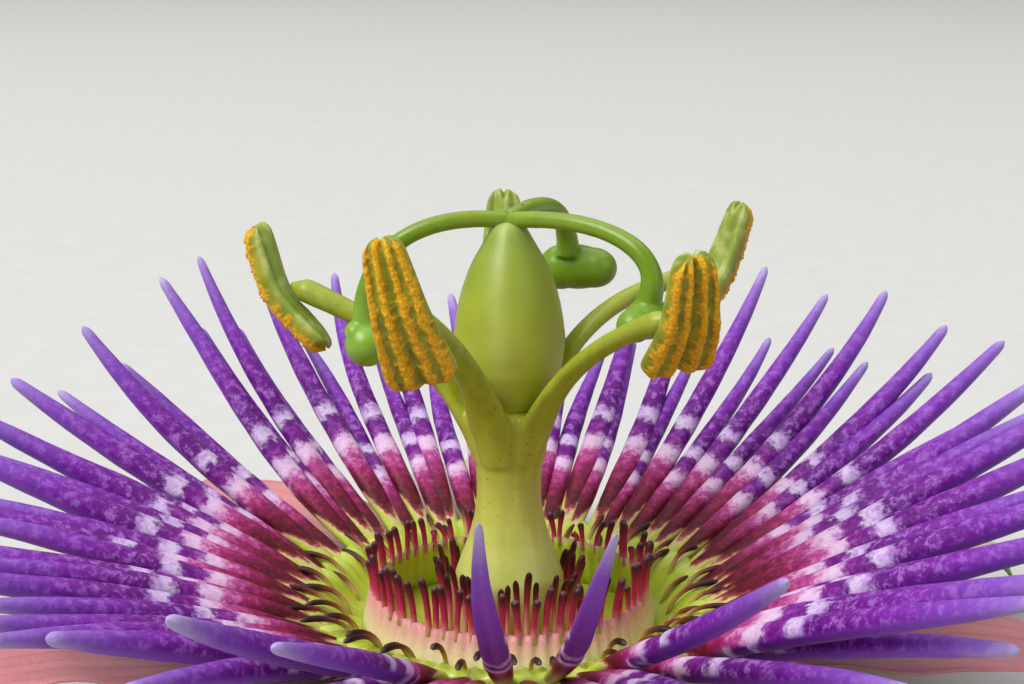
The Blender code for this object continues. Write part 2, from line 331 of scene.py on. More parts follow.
def add(tree, kind, inputs=None, stops=None, **settings):
    """Add a shader node, set its properties, and fill or link its inputs."""
    made = tree.nodes.new("ShaderNode" + kind)
    for key, value in settings.items():
        setattr(made, key, value)
    for key, value in (inputs or {}).items():
        socket = made.inputs[key]
        if isinstance(value, bpy.types.NodeSocket):
            tree.links.new(value, socket)
        else:
            socket.default_value = value
    if stops:
        ramp = made.color_ramp.elements
        while len(ramp) < len(stops):
            ramp.new(0.5)
        for element, (place, colour) in zip(ramp, stops):
            element.position = place
        for element, (place, colour) in zip(ramp, stops):
            shade = linear(colour) if isinstance(colour, str) else tuple(colour)
            element.color = (*shade, 1.0)
    return made


def new_finish(name, roughness, reads=(), ior=1.45, softness=0.0, coat=0.0, sheen=0.0):
    """A Principled material with its constants on its own sockets.

    Comes with its tree, its shader, the place on the flower and the mesh values it reads.
    """
    made = bpy.data.materials.new(name)
    made.use_nodes = True
    tree = made.node_tree
    shader = tree.nodes["Principled BSDF"]
    constants = {
        "Roughness": roughness, "IOR": ior, "Subsurface Weight": softness,
        "Subsurface Radius": (1.0, 0.6, 0.35), "Subsurface Scale": 0.0012,
        "Coat Weight": coat, "Coat Roughness": 0.25,
        "Sheen Weight": sheen, "Sheen Roughness": 0.4,
    }
    for socket, value in constants.items():
        shader.inputs[socket].default_value = value
    where = add(tree, "TexCoord").outputs["Object"]
    values = [add(tree, "Attribute", attribute_name=layer).outputs["Fac"] for layer in reads]
    return made, tree, shader, where, values


def per_metre(feature_mm):
    """Noise scale that gives features of this size in millimetres."""
    return 1.0 / (feature_mm * MM)


def solid(colour):
    """A hex colour as a socket value."""
    return (*linear(colour), 1.0)


def clouded(tree, where, colour, feature_mm, detail, share):
    """Break a colour up with lighter and darker patches; returns it and the patches."""
    patches = add(
        tree, "TexNoise", {"Vector": where, "Scale": per_metre(feature_mm), "Detail": detail}
    ).outputs["Fac"]
    toned = add(
        tree, "Mix", {0: share, 6: colour, 7: patches}, data_type="RGBA", blend_type="OVERLAY"
    )
    return toned.outputs[2], patches


def dotted(tree, where, colour, gland_colour, spacing_mm, edge, patch_mm, patch_edge, crowd=None):
    """Scatter round glands over a colour, in patches, and only where crowd is high."""
    cells = add(
        tree, "TexVoronoi", {"Vector": where, "Scale": per_metre(spacing_mm)}, feature="F1"
    )
    dots = add(
        tree, "ValToRGB", {"Fac": cells.outputs["Distance"]},
        stops=[(edge[0], "#FFFFFF"), (edge[1], "#000000")],
    )
    patches = add(tree, "TexNoise", {"Vector": where, "Scale": per_metre(patch_mm), "Detail": 1.0})
    chosen = add(
        tree, "ValToRGB", {"Fac": patches.outputs["Fac"]},
        stops=[(patch_edge[0], "#000000"), (patch_edge[1], "#FFFFFF")],
    )
    share = dots.outputs["Color"]
    for mask in (crowd, chosen.outputs["Color"]):
        if mask is not None:
            share = add(tree, "Math", {0: share, 1: mask}, operation="MULTIPLY").outputs[0]
    spotted = add(tree, "Mix", {0: share, 6: colour, 7: solid(gland_colour)}, data_type="RGBA")
    return spotted.outputs[2]


def dress(tree, shader, colour, height, depth_mm, strength=1.0):
    """Give the shader its colour and a relief of this depth in millimetres."""
    tree.links.new(colour, shader.inputs["Base Color"])
    bump = add(
        tree, "Bump", {"Height": height, "Distance": depth_mm * MM, "Strength": strength}
    )
    tree.links.new(bump.outputs["Normal"], shader.inputs["Normal"])


def banded_filament_finish(colours):
    """Turgid filament epidermis: satin, banded across, mottled above, plain violet below."""
    made, tree, shader, where, (along, upper, seed) = new_finish(
        "filament_epidermis_banded", 0.50, LAYERS, ior=1.33, softness=0.12
    )
    # The bands wander across a filament, and sit further in or out than its neighbour's.
    wander = add(
        tree, "TexNoise",
        {"Vector": where, "Scale": per_metre(0.8), "Detail": 4.0, "Roughness": 0.65},
    )
    wobble = add(
        tree, "MapRange", {"Value": wander.outputs["Fac"], "To Min": -0.045, "To Max": 0.045}
    )
    own = add(tree, "MapRange", {"Value": seed, "To Min": -0.024, "To Max": 0.024})
    both = add(tree, "Math", {0: wobble.outputs[0], 1: own.outputs[0]}, operation="ADD")
    # The foot's colour reaches further along the sides, so that the maroon starts in a point.
    flame = add(
        tree, "MapRange", {"Value": upper, "From Min": 0.5, "To Min": -0.15, "To Max": 0.0}
    )
    foot = add(
        tree, "MapRange",
        {"Value": along, "From Min": 0.14, "From Max": 0.32, "To Min": 1.0, "To Max": 0.0},
    )
    point = add(tree, "Math", {0: flame.outputs[0], 1: foot.outputs[0]}, operation="MULTIPLY")
    shifted = add(tree, "Math", {0: along, 1: both.outputs[0]}, operation="ADD")
    place = add(tree, "Math", {0: shifted.outputs[0], 1: point.outputs[0]}, operation="ADD")
    maroon, violet = tuple(colours.maroon), tuple(colours.violet)
    ramps = {
        "above": [
            (0.00, colours.chartreuse), (0.03, "#C8CC5C"), (0.058, "#DCC48C"),
            (0.080, "#A03C40"), (0.105, maroon), (0.18, "#640826"), (0.25, "#92185A"),
            (0.315, "#BA4696"), (0.345, "#E6C6E4"), (0.37, "#DEBCE2"), (0.388, "#7E1088"),
            (0.437, "#680C80"), (0.456, "#DECAEA"), (0.480, "#CEB0E2"), (0.50, "#640A7E"),
            (0.60, "#761690"), (0.70, violet), (0.84, "#8444B8"), (0.94, "#946AC6"),
            (1.0, "#B6A2D8"),
        ],
        "below": [
            (0.00, "#B8B070"), (0.06, "#A06048"), (0.13, "#7A2030"), (0.20, "#7A1846"),
            (0.245, "#98508A"), (0.268, "#DCC8E2"), (0.29, "#540A6C"), (0.325, "#5E0E7A"),
            (0.345, "#C8AAD8"), (0.365, "#641084"), (0.46, "#6A1C92"), (0.66, "#7632A6"),
            (0.86, "#7E4AB0"), (1.0, "#A698C6"),
        ],
        "pale_zone": [
            (0.0, "#000000"), (0.10, "#303030"), (0.16, "#B0B0B0"), (0.32, "#D0D0D0"),
            (0.40, "#A0A0A0"), (0.55, "#D8D8D8"), (0.76, "#B0B0B0"), (0.94, "#383838"),
        ],
        "pale_colour": [
            (0.0, "#C8B060"), (0.12, "#8E1438"), (0.20, "#AC2058"), (0.27, "#D05CA4"),
            (0.33, "#E8C0E2"), (0.42, "#A84CBC"), (0.50, "#B47CD2"), (0.72, "#A46ED0"),
            (1.0, "#C0ACE2"),
        ],
        "dark_zone": [
            (0.0, "#000000"), (0.11, "#A0A0A0"), (0.31, "#B0B0B0"), (0.34, "#787878"),
            (0.375, "#787878"), (0.39, "#C0C0C0"), (0.44, "#C0C0C0"), (0.455, "#787878"),
            (0.485, "#787878"), (0.50, "#D0D0D0"), (0.75, "#B8B8B8"), (1.0, "#303030"),
        ],
        "dark_colour": [
            (0.0, "#A8A848"), (0.11, "#24040C"), (0.28, "#6C0C44"), (0.34, "#A850A0"),
            (0.375, "#A850A8"), (0.40, "#4C0866"), (0.50, "#4E0868"), (0.7, "#56127E"),
            (1.0, "#8A64B8"),
        ],
    }
    shades = {
        name: add(tree, "ValToRGB", {"Fac": place.outputs[0]}, stops=stops).outputs["Color"]
        for name, stops in ramps.items()
    }
    # Cells gather in patches of about 0.75 mm on the filament's upper side.
    mottle = add(
        tree, "TexNoise",
        {"Vector": where, "Scale": per_metre(0.75), "Detail": 4.0, "Roughness": 0.7},
    ).outputs["Fac"]
    mottled = shades["above"]
    for tone, edge in (
        ("pale", [(0.50, "#000000"), (0.60, "#FFFFFF")]),
        ("dark", [(0.38, "#FFFFFF"), (0.47, "#000000")]),
    ):
        spots = add(tree, "ValToRGB", {"Fac": mottle}, stops=edge)
        share = add(
            tree, "Math", {0: spots.outputs["Color"], 1: shades[f"{tone}_zone"]},
            operation="MULTIPLY",
        )
        mottled = add(
            tree, "Mix", {0: share.outputs[0], 6: mottled, 7: shades[f"{tone}_colour"]},
            data_type="RGBA",
        ).outputs[2]
    top = add(
        tree, "MapRange", {"Value": upper, "From Min": 0.30, "From Max": 0.55},
        interpolation_type="SMOOTHSTEP",
    )
    colour = add(
        tree, "Mix", {0: top.outputs[0], 6: shades["below"], 7: mottled}, data_type="RGBA"
    )
    dress(tree, shader, colour.outputs[2], mottle, 0.10)
    return made


def foot_to_tip_finish(name, roughness, stops, cell_mm, detail, share, depth_mm, **constants):
    """A skin whose colour runs from foot to tip, broken up by patches of its cells."""
    made, tree, shader, where, (along,) = new_finish(name, roughness, ("along",), **constants)
    ramp = add(tree, "ValToRGB", {"Fac": along}, stops=stops)
    colour, cells = clouded(tree, where, ramp.outputs["Color"], cell_mm, detail, share)
    dress(tree, shader, colour, cells, depth_mm)
    return made


def hook_finish():
    """Hooked filament skin: yellow-green foot, brown shaft, near-black end with a grey cap."""
    return foot_to_tip_finish("hook_epidermis", 0.50, [
        (0.0, "#C4C860"), (0.30, "#B8985A"), (0.52, "#84402E"), (0.74, "#3E161A"),
        (0.90, "#26100F"), (0.97, "#4A3A3C"), (1.0, "#6A5C60"),
    ], 0.35, 2.0, 0.25, 0.04, ior=1.36, softness=0.1)


def inner_fringe_finish():
    """Fringe at the column's foot: wet-looking dark maroon, crimson near its foot."""
    return foot_to_tip_finish("inner_fringe_epidermis", 0.42, [
        (0.0, "#D8C08A"), (0.3, "#DC7C80"), (0.55, "#B02650"), (0.8, "#5E1026"),
        (1.0, "#34101A"),
    ], 0.3, 2.0, 0.2, 0.03, ior=1.38, softness=0.1, coat=0.05)


def stalk_finish():
    """Cut stalk: green fibrous rind round a paler pith, matt and dry on the cut."""
    return foot_to_tip_finish("stalk_rind_and_pith", 0.5, [
        (0.0, "#C8CE96"), (0.18, "#D4D8A8"), (0.30, "#9AAE5A"), (0.45, "#7C9A3C"),
        (1.0, "#86A046"),
    ], 0.4, 3.0, 0.3, 0.06, softness=0.15)


def fringe_finish():
    """Operculum membrane and its stalks: cream-pink pleats, crimson stalks, dark ends."""
    made, tree, shader, where, (along, inner) = new_finish(
        "operculum_epidermis", 0.42, ("along", "upper"), ior=1.38, softness=0.18, coat=0.05
    )
    stalk = [
        (0.52, "#BE2E56"), (0.74, "#A21C46"), (0.86, "#6A162E"), (0.94, "#3E1A22"),
        (1.0, "#6A4A50"),
    ]
    pleats = add(tree, "ValToRGB", {"Fac": along}, stops=[
        (0.0, "#C2CC6E"), (0.12, "#DCC6A0"), (0.28, "#E4A89E"), (0.40, "#D4707E"), *stalk,
    ])
    # The membrane's inner face, towards the column, keeps the bowl's yellow-green.
    lining = add(tree, "ValToRGB", {"Fac": along}, stops=[
        (0.0, "#B4C83C"), (0.33, "#C6D048"), (0.365, "#D8A890"), (0.40, "#DA7E86"), *stalk,
    ])
    face = add(tree, "MapRange", {"Value": inner, "From Min": 0.05, "From Max": 0.45})
    faced = add(
        tree, "Mix",
        {0: face.outputs[0], 6: lining.outputs["Color"], 7: pleats.outputs["Color"]},
        data_type="RGBA",
    )
    colour, cells = clouded(tree, where, faced.outputs[2], 0.3, 2.0, 0.2)
    dress(tree, shader, colour, cells, 0.03)
    return made


def cup_finish(colours):
    """Calyx cup: glossy wet nectar bowl inside with painted light on its floor, matt green hide
    outside.
    """
    made, tree, shader, where, (along,) = new_finish(
        "calyx_flesh", 0.30, ("along",), softness=0.2, coat=0.25
    )
    # The floor between the column and the operculum (stop 0.14) is painted light: lighter than the
    # flesh, to offset the shade that falls there.
    flesh_with_painted_light = add(tree, "ValToRGB", {"Fac": along}, stops=[
        (0.0, "#C8B860"), (0.14, "#CCD24C"), (0.24, "#BCD23C"), (0.36, colours.chartreuse),
        (0.50, "#BEC658"), (0.56, "#B2BE56"), (0.64, "#8CA34A"), (0.85, "#7E9A44"),
        (1.0, "#8EA050"),
    ])
    colour, _ = clouded(tree, where, flesh_with_painted_light.outputs["Color"], 3.0, 4.0, 0.22)
    rough = add(
        tree, "MapRange",
        {"Value": along, "From Min": 0.50, "From Max": 0.60, "To Min": 0.26, "To Max": 0.52},
    )
    tree.links.new(rough.outputs[0], shader.inputs["Roughness"])
    fine = add(tree, "TexNoise", {"Vector": where, "Scale": per_metre(0.5), "Detail": 3.0})
    dress(tree, shader, colour, fine.outputs["Fac"], 0.05)
    return made


def column_finish():
    """Column and straps: waxy yellow-green skin with red-brown glands, thicker near the top."""
    made, tree, shader, where, _ = new_finish(
        "column_epidermis_waxy", 0.38, softness=0.22, coat=0.08
    )
    split = add(tree, "SeparateXYZ", {"Vector": where})
    height = add(
        tree, "MapRange",
        {"Value": split.outputs["Z"], "From Min": (RIM - 3.0) * MM, "From Max": (RIM + 27.0) * MM},
    )
    ground = add(tree, "ValToRGB", {"Fac": height.outputs[0]}, stops=[
        (0.0, "#CCC86A"), (0.12, "#D0D472"), (0.30, "#CACE56"), (0.48, "#BAC040"),
        (0.62, "#A6AE2A"), (0.80, "#98A426"), (1.0, "#A2AE38"),
    ])
    # Streaks 0.8 mm wide run up the skin, six times as long as wide.
    drawn = add(tree, "Mapping", {"Vector": where, "Scale": (1.0, 1.0, 0.16)})
    toned, streaks = clouded(
        tree, drawn.outputs["Vector"], ground.outputs["Color"], 0.8, 3.0, 0.26
    )
    # Glands are about 0.2 mm across and 0.6 mm apart.
    crowd = add(tree, "ValToRGB", {"Fac": height.outputs[0]}, stops=[
        (0.0, "#101010"), (0.25, "#808080"), (0.5, "#E8E8E8"), (1.0, "#D0D0D0"),
    ])
    colour = dotted(
        tree, where, toned, "#A84418", 0.62, (0.13, 0.20), 1.7, (0.44, 0.54),
        crowd.outputs["Color"],
    )
    dress(tree, shader, colour, streaks, 0.06)
    return made


def ovary_finish():
    """Ovary wall: smooth wax bloom over green, paler down the middle of each carpel."""
    made, tree, shader, where, (along, upper) = new_finish(
        "ovary_wall_waxy", 0.44, ("along", "upper"), softness=0.25, coat=0.04
    )
    ground = add(tree, "ValToRGB", {"Fac": along}, stops=[
        (0.0, "#ACB030"), (0.25, "#B4BA34"), (0.50, "#A6B032"), (0.75, "#96A630"),
        (0.92, "#8CA03C"), (1.0, "#9EB25C"),
    ])
    toned, _ = clouded(tree, where, ground.outputs["Color"], 2.5, 3.0, 0.18)
    band = add(tree, "MapRange", {"Value": upper, "To Min": 0.0, "To Max": 0.30})
    colour = add(
        tree, "Mix", {0: band.outputs[0], 6: toned, 7: solid("#C6CE78")}, data_type="RGBA"
    )
    pores = add(tree, "TexNoise", {"Vector": where, "Scale": per_metre(0.25), "Detail": 2.0})
    dress(tree, shader, colour.outputs[2], pores.outputs["Fac"], 0.025)
    return made


def style_finish():
    """Style and stigma: satin leaf green with painted light and shade by height, lighter on the
    low stigma and darker on the high back one, with a few dark glands.
    """
    made, tree, shader, where, _ = new_finish("style_epidermis", 0.34, softness=0.2, coat=0.10)
    split = add(tree, "SeparateXYZ", {"Vector": where})
    height = add(
        tree, "MapRange",
        {"Value": split.outputs["Z"], "From Min": (RIM + 18) * MM, "From Max": (RIM + 33) * MM},
    )
    # Lighter low down and darker higher up. Over the green of style and stigma, the low stigma on
    # the left gets a painted glow at its foot, and the high back stigma gets painted shade.
    ground = add(tree, "ValToRGB", {"Fac": height.outputs[0]}, stops=[
        (0.0, "#86AE28"), (0.30, "#84AC36"), (0.52, "#74981E"), (0.78, "#72920E"),
        (1.0, "#88A028"),
    ])
    toned, cloud = clouded(tree, where, ground.outputs["Color"], 1.6, 3.0, 0.22)
    # Glands are about 0.3 mm across and 1.5 mm apart.
    colour = dotted(tree, where, toned, "#3A1418", 1.5, (0.085, 0.12), 2.4, (0.50, 0.55))
    dress(tree, shader, colour, cloud, 0.04)
    return made


def anther_finish(colours):
    """Anther: satin green back with paler patches, split front crusted with orange pollen."""
    made, tree, shader, where, (grains, upper) = new_finish(
        "anther_wall_and_pollen", 0.5, ("along", "upper"), softness=0.1
    )
    back = add(tree, "TexNoise", {"Vector": where, "Scale": per_metre(1.5), "Detail": 3.0})
    wall = add(
        tree, "ValToRGB", {"Fac": back.outputs["Fac"]},
        stops=[(0.35, "#86A03A"), (0.5, "#9AAC46"), (0.65, "#BCC676")],
    )
    lining = add(
        tree, "ValToRGB", {"Fac": back.outputs["Fac"]},
        stops=[(0.3, "#7C7A12"), (0.5, "#92901A"), (0.7, "#A8A424")],
    )
    # Pollen grains of 0.06 mm are too fine to show, so clumps of 0.26 mm are drawn.
    clumps = add(tree, "TexVoronoi", {"Vector": where, "Scale": per_metre(0.26)}, feature="F1")
    dust = add(tree, "ValToRGB", {"Fac": clumps.outputs["Distance"]}, stops=[
        (0.0, "#F2C428"), (0.45, colours.pollen), (0.9, "#C8920E"),
    ])
    crust = add(
        tree, "MapRange", {"Value": grains, "From Min": 0.30, "From Max": 0.62},
        interpolation_type="SMOOTHSTEP",
    )
    front = add(
        tree, "Mix",
        {0: crust.outputs[0], 6: lining.outputs["Color"], 7: dust.outputs["Color"]},
        data_type="RGBA",
    )
    side = add(
        tree, "MapRange", {"Value": upper, "From Min": 0.40, "From Max": 0.56},
        interpolation_type="SMOOTHSTEP",
    )
    colour = add(
        tree, "Mix", {0: side.outputs[0], 6: wall.outputs["Color"], 7: front.outputs[2]},
        data_type="RGBA",
    )
    rough = add(tree, "MapRange", {"Value": crust.outputs[0], "To Min": 0.42, "To Max": 0.85})
    tree.links.new(rough.outputs[0], shader.inputs["Roughness"])
    rise = add(
        tree, "Math", {0: clumps.outputs["Distance"], 1: crust.outputs[0]}, operation="MULTIPLY"
    )
    faced = add(tree, "Math", {0: rise.outputs[0], 1: side.outputs[0]}, operation="MULTIPLY")
    dress(tree, shader, colour.outputs[2], faced.outputs[0], 0.08, strength=0.7)
    return made


def tepal_finish(name, upper_stops, lower_stops, vein_colour):
    """Tepal tissue: soft satin sheet with veins along it, one colour above, one below."""
    made, tree, shader, where, (along, upper, across) = new_finish(
        name, 0.48, LAYERS, softness=0.15, sheen=0.15
    )
    above = add(tree, "ValToRGB", {"Fac": along}, stops=upper_stops)
    below = add(tree, "ValToRGB", {"Fac": along}, stops=lower_stops)
    # Seven veins run from foot to tip, about 2.5 mm apart where the sheet is widest.
    lines = add(tree, "Math", {0: across, 1: 44.0}, operation="MULTIPLY")
    wave = add(tree, "Math", {0: lines.outputs[0]}, operation="SINE")
    vein = add(
        tree, "MapRange",
        {"Value": wave.outputs[0], "From Min": 0.55, "From Max": 1.0, "To Min": 0.0,
         "To Max": 0.35},
    )
    side = add(tree, "MapRange", {"Value": upper, "From Min": 0.45, "From Max": 0.55})
    sheet = add(
        tree, "Mix", {0: side.outputs[0], 6: below.outputs["Color"], 7: above.outputs["Color"]},
        data_type="RGBA",
    )
    toned, _ = clouded(tree, where, sheet.outputs[2], 4.0, 4.0, 0.22)
    colour = add(
        tree, "Mix", {0: vein.outputs[0], 6: toned, 7: solid(vein_colour)}, data_type="RGBA"
    )
    fine = add(tree, "TexNoise", {"Vector": where, "Scale": per_metre(0.6), "Detail": 3.0})
    height = add(tree, "Math", {0: fine.outputs["Fac"], 1: vein.outputs[0]}, operation="ADD")
    dress(tree, shader, colour.outputs[2], height.outputs[0], 0.08)
    return made


# ---------------------------------------------------------------- organs


def long_filament(skin, rng, azimuth, foot, knee, tip, width, seed, taper):
    """One long filament: flattened foot, nearly level to its knee, then up to a blunt tip."""
    rings, sides = 36, 12
    low = math.atan2(knee[1] - foot[1], knee[0] - foot[0])
    high = math.atan2(tip[1] - knee[1], tip[0] - knee[0])
    end = high + (high - low) * 0.42 + math.radians(rng.uniform(-2, 4))
    length = math.hypot(tip[0] - foot[0], tip[1] - foot[1])
    controls = [
        Vector(foot),
        Vector((foot[0] + 0.34 * length * math.cos(low), foot[1] + 0.34 * length * math.sin(low))),
        Vector((tip[0] - 0.34 * length * math.cos(end), tip[1] - 0.34 * length * math.sin(end))),
        Vector(tip[:2]),
    ]
    sway, phase = rng.uniform(0.3, 1.1), rng.uniform(0, math.tau)
    drift = rng.uniform(-1.3, 1.3) + tip[2]
    points, values = [], []
    for i in range(rings + 1):
        t = 1.0 - (1.0 - i / rings) ** 1.25
        flat = bezier(controls, t)
        sideways = drift * t * t + sway * math.sin(phase + 4.2 * t) * t ** 1.6
        lift = 0.35 * math.sin(phase * 1.7 + 6.0 * t) * t * (1 - t)
        points.append(polar(azimuth, flat.x, flat.y + lift, sideways))
        values.append(t)
    shape = (
        (0.0, 0.66), (0.12, 0.86), (0.26, 1.0), (0.45, 0.98), (0.65, 0.86), (0.85, 0.62),
        (0.94, 0.46), (1.0, 0.36),
    )
    stations = []
    for point, (across, up), t in zip(points, run_frames(points, azimuth), values):
        swell = 1.0 + 0.05 * math.sin(t * 44 + phase) * min(1.0, t * 3) * (1 - t)
        half = width / 2 * straight(shape, t) * rounded_end(t, 0.02) * swell
        half *= 1.0 - (1.0 - taper) * t * t
        flatness = between(((0.0, 0.55), (0.25, 0.80), (1.0, 0.96)), t)
        stations.append((point, across, up, half, half * flatness, t))
    skin.tube(stations, sides, seed)


# How the crown lies round the flower: azimuth, height of the filaments' knees (where the white
# bands are) and of their tips above the rim. The front left lies low; the front stands up again.
CROWN_LIE = (
    (0, 3.4, 17.8), (10, 3.6, 18.6), (20, 3.9, 18.8), (32, 4.2, 20.2), (45, 4.3, 20.4),
    (54, 4.4, 21.2), (66, 4.5, 19.0), (77, 4.6, 17.6), (100, 4.6, 17.6), (118, 4.6, 19.6),
    (137, 4.6, 23.4), (145, 4.2, 20.8), (158, 3.8, 18.0), (168, 3.2, 16.4), (182, 2.4, 12.8),
    (202, 1.6, 9.8), (218, 0.6, 7.4), (230, 0.4, 7.6), (243, 0.4, 10.1), (253, 0.6, 10.8),
    (259.5, -0.4, 3.2), (264.5, 1.4, 18.2), (280, 2.6, 19.6), (286, -0.4, 3.0),
    (293, 1.8, 15.0), (300, 1.2, 12.8), (308, 1.2, 12.6), (318, 1.4, 12.2), (340, 2.6, 16.4),
    (360, 3.4, 17.8),
)
# Across the front the filaments stand apart in clumps: azimuth, and how far round they move.
CROWN_CLUMPS = (
    (0, -1.0), (11, -1.4), (21, -0.3), (30, 1.7), (40, 2.2), (49, 4.7), (59, 4.4), (75, 3.0),
    (95, 1.5), (115, 1.0), (134, 2.5), (144, 0.5), (153, 4.8), (163, 4.8), (172, 3.5),
    (185, 1.5), (200, 0), (226, 0), (229, 0.7), (239, 4.2), (248, 4.6), (258, 2.0),
    (267, 0.5), (276.6, 5.6), (286, 1.8), (296, -2.4), (305, 2.4), (315, 1.0), (324, 0),
    (345, 0), (360, -1.0),
)
# How far their tips lean sideways, in millimetres.
CROWN_LEAN = (
    (0, 0), (226, 0), (230, -2.0), (243, -2.6), (253, -0.6), (264, 0), (272, -0.4), (281, -2.6),
    (287, 0), (360, 0),
)
# How far from the axis the tips of each row end.
OUTER_ROW_REACH = (
    (0, 46.5), (10, 44.5), (32, 42.0), (54, 41.8), (70, 42.6), (95, 43.4), (120, 42.6),
    (137, 41.8), (158, 43.6), (168, 45.4), (180, 49.6), (200, 51.0), (222, 51.0), (230, 47.8),
    (290, 47.2), (299, 50.0), (308, 55.4), (330, 53.4), (345, 50.0), (360, 46.5),
)
SECOND_ROW_REACH = (
    (0, 45.0), (15, 40.5), (40, 38.6), (130, 38.8), (160, 42.0), (180, 47.0), (215, 49.6),
    (228, 50.0), (240, 46.5), (294, 46.0), (300, 48.5), (306, 54.0), (330, 51.0), (345, 48.5),
    (360, 45.0),
)
# Filaments at the sides are broader than those behind and the slender pair in front.
CROWN_GIRTH = (
    (0, 1.14), (20, 1.00), (40, 0.90), (130, 0.88), (155, 0.98), (180, 1.22), (235, 1.18),
    (262, 0.90), (285, 0.90), (296, 1.10), (320, 1.25), (360, 1.14),
)


FRONT, FRONT_SPREAD = 270.0, 44.0                # where the second row lies flat
SLENDER_PAIR, SLENDER_TAPER = (262.0, 283.0), 0.62


def crown_lie(azimuth):
    """Heights of the knees and the tips at this azimuth."""
    knees = [(row[0], row[1]) for row in CROWN_LIE]
    tips = [(row[0], row[2]) for row in CROWN_LIE]
    return between(knees, azimuth % 360), between(tips, azimuth % 360)


def build_long_rows(sizes, colours):
    """The two rows of long banded filaments."""
    rng = random.Random(41)
    finish = banded_filament_finish(colours)
    width = sizes.filament_width / MM
    count = sizes.long_filaments
    rows = (
        ("crown_outer_filaments", "corona_outer_row", 0.2, (16.0, -0.9), 1.0),
        ("crown_second_filaments", "corona_second_row", 0.7, (14.9, -1.6), 0.92),
    )
    for name, node, shift, foot, girth in rows:
        second = node == "corona_second_row"
        skin = Skin()
        for i in range(count):
            azimuth = 360.0 * (i + shift) / count
            if second:
                azimuth += 1.6 * between(((0, 0), (25, 1), (80, 1), (110, 0), (360, 0)), azimuth)
            azimuth += between(CROWN_CLUMPS, azimuth) + rng.uniform(-1.2, 1.2)
            knee, high = crown_lie(azimuth)
            high += rng.uniform(-1.1, 1.1)
            far = between(OUTER_ROW_REACH, azimuth % 360) + rng.uniform(-1.6, 0.6)
            if second:
                far = between(SECOND_ROW_REACH, azimuth % 360) + rng.uniform(-1.5, 0.7)
                # The second row lies flat under the outer one along the front.
                front = max(0.0, 1.0 - abs(azimuth % 360 - FRONT) / FRONT_SPREAD) ** 0.5
                behind = max(0.0, math.sin(math.radians(azimuth))) ** 0.5
                high = high * (0.84 - 0.14 * behind) * (1 - front) + 1.6 * front
                knee = (knee + 0.4 - 0.8 * behind) * (1 - front) - 0.6 * front
            own = width * girth * rng.uniform(0.92, 1.08) * between(CROWN_GIRTH, azimuth % 360)
            taper = SLENDER_TAPER if SLENDER_PAIR[0] < azimuth < SLENDER_PAIR[1] else 1.0
            start = (foot[0] + rng.uniform(-0.2, 0.2), foot[1] + dip(azimuth))
            long_filament(
                skin, rng, azimuth, start, (KNEE_RADIUS, knee),
                (far, high, between(CROWN_LEAN, azimuth % 360)), own, rng.random(), taper,
            )
        skin.finish(name, finish, [node], "long_filament", smoothing=1)


def small_stalk(skin, azimuth, controls, width, seed, rings=12, sides=8, swell=1.0, end=0.09):
    """One short filament through four (radius, height, sideways) control points."""
    vectors = [Vector(c) for c in controls]
    points, values = [], []
    for i in range(rings + 1):
        t = 1.0 - (1.0 - i / rings) ** 1.8
        spot = bezier(vectors, t)
        points.append(polar(azimuth, spot.x, spot.y, spot.z))
        values.append(t)
    shape = ((0.0, 0.8), (0.45, 0.78), (0.85, swell), (1.0, swell * 0.85))
    stations = []
    for point, (across, up), t in zip(points, run_frames(points, azimuth), values):
        half = width / 2 * between(shape, t) * rounded_end(t, end)
        stations.append((point, across, up, half, half, t))
    skin.tube(stations, sides, seed)


def build_hooks(sizes):
    """Two close rows of short hooked filaments on the bowl's slope."""
    rng = random.Random(17)
    skin = Skin()
    rows = ((13.7, -2.6, 2.3, 4.0), (15.2, -1.2, 2.1, 4.4))
    for row, (foot, foot_height, rise, throw) in enumerate(rows):
        for i in range(sizes.hooks):
            azimuth = 360.0 * (i + 0.5 * row) / sizes.hooks + rng.uniform(-2.2, 2.2)
            height = foot_height + slope_dip(azimuth, foot)
            top = rise * rng.uniform(0.75, 1.15)
            out = throw * rng.uniform(0.7, 1.15)
            lean = rng.uniform(-0.7, 0.7)
            controls = (
                (foot, height - 0.5, 0.0), (foot + 0.4, height + top * 0.70, 0.0),
                (foot + out * 0.48, height + top * 1.06, lean * 0.5),
                (foot + out, height + top * rng.uniform(0.85, 1.15), lean),
            )
            small_stalk(skin, azimuth, controls, rng.uniform(0.46, 0.58), rng.random(), swell=1.1)
    skin.finish("hooked_filaments", hook_finish(), ["corona_hooks"], "hook_filament")


MEMBRANE_EDGE = 0.36     # where along the operculum its membrane ends and the stalks go on


def pleated_ring(skin, pleats, profile, ripple):
    """A closed pleated wall from (radius, height, thickness, along) rows, foot first."""
    steps = pleats * 6
    outer, inner = [], []
    for radius, height, thickness, along in profile:
        rings = ([], [])
        for i in range(steps):
            turn = 360.0 * i / steps
            rise = fringe_rise(turn) * (along / MEMBRANE_EDGE)
            fold = ripple * math.cos(math.radians(turn) * pleats) * (0.25 + 3.0 * along)
            for ring, side, upper in zip(rings, (0.5, -0.5), (1.0, 0.0)):
                place = polar(turn, radius + fold + side * thickness, height + rise)
                ring.append(skin.point(place, (along, upper, BODY_SEED)))
        outer.append(rings[0])
        inner.append(rings[1])
    loop = outer + inner[::-1]
    skin.wall(loop + loop[:1])


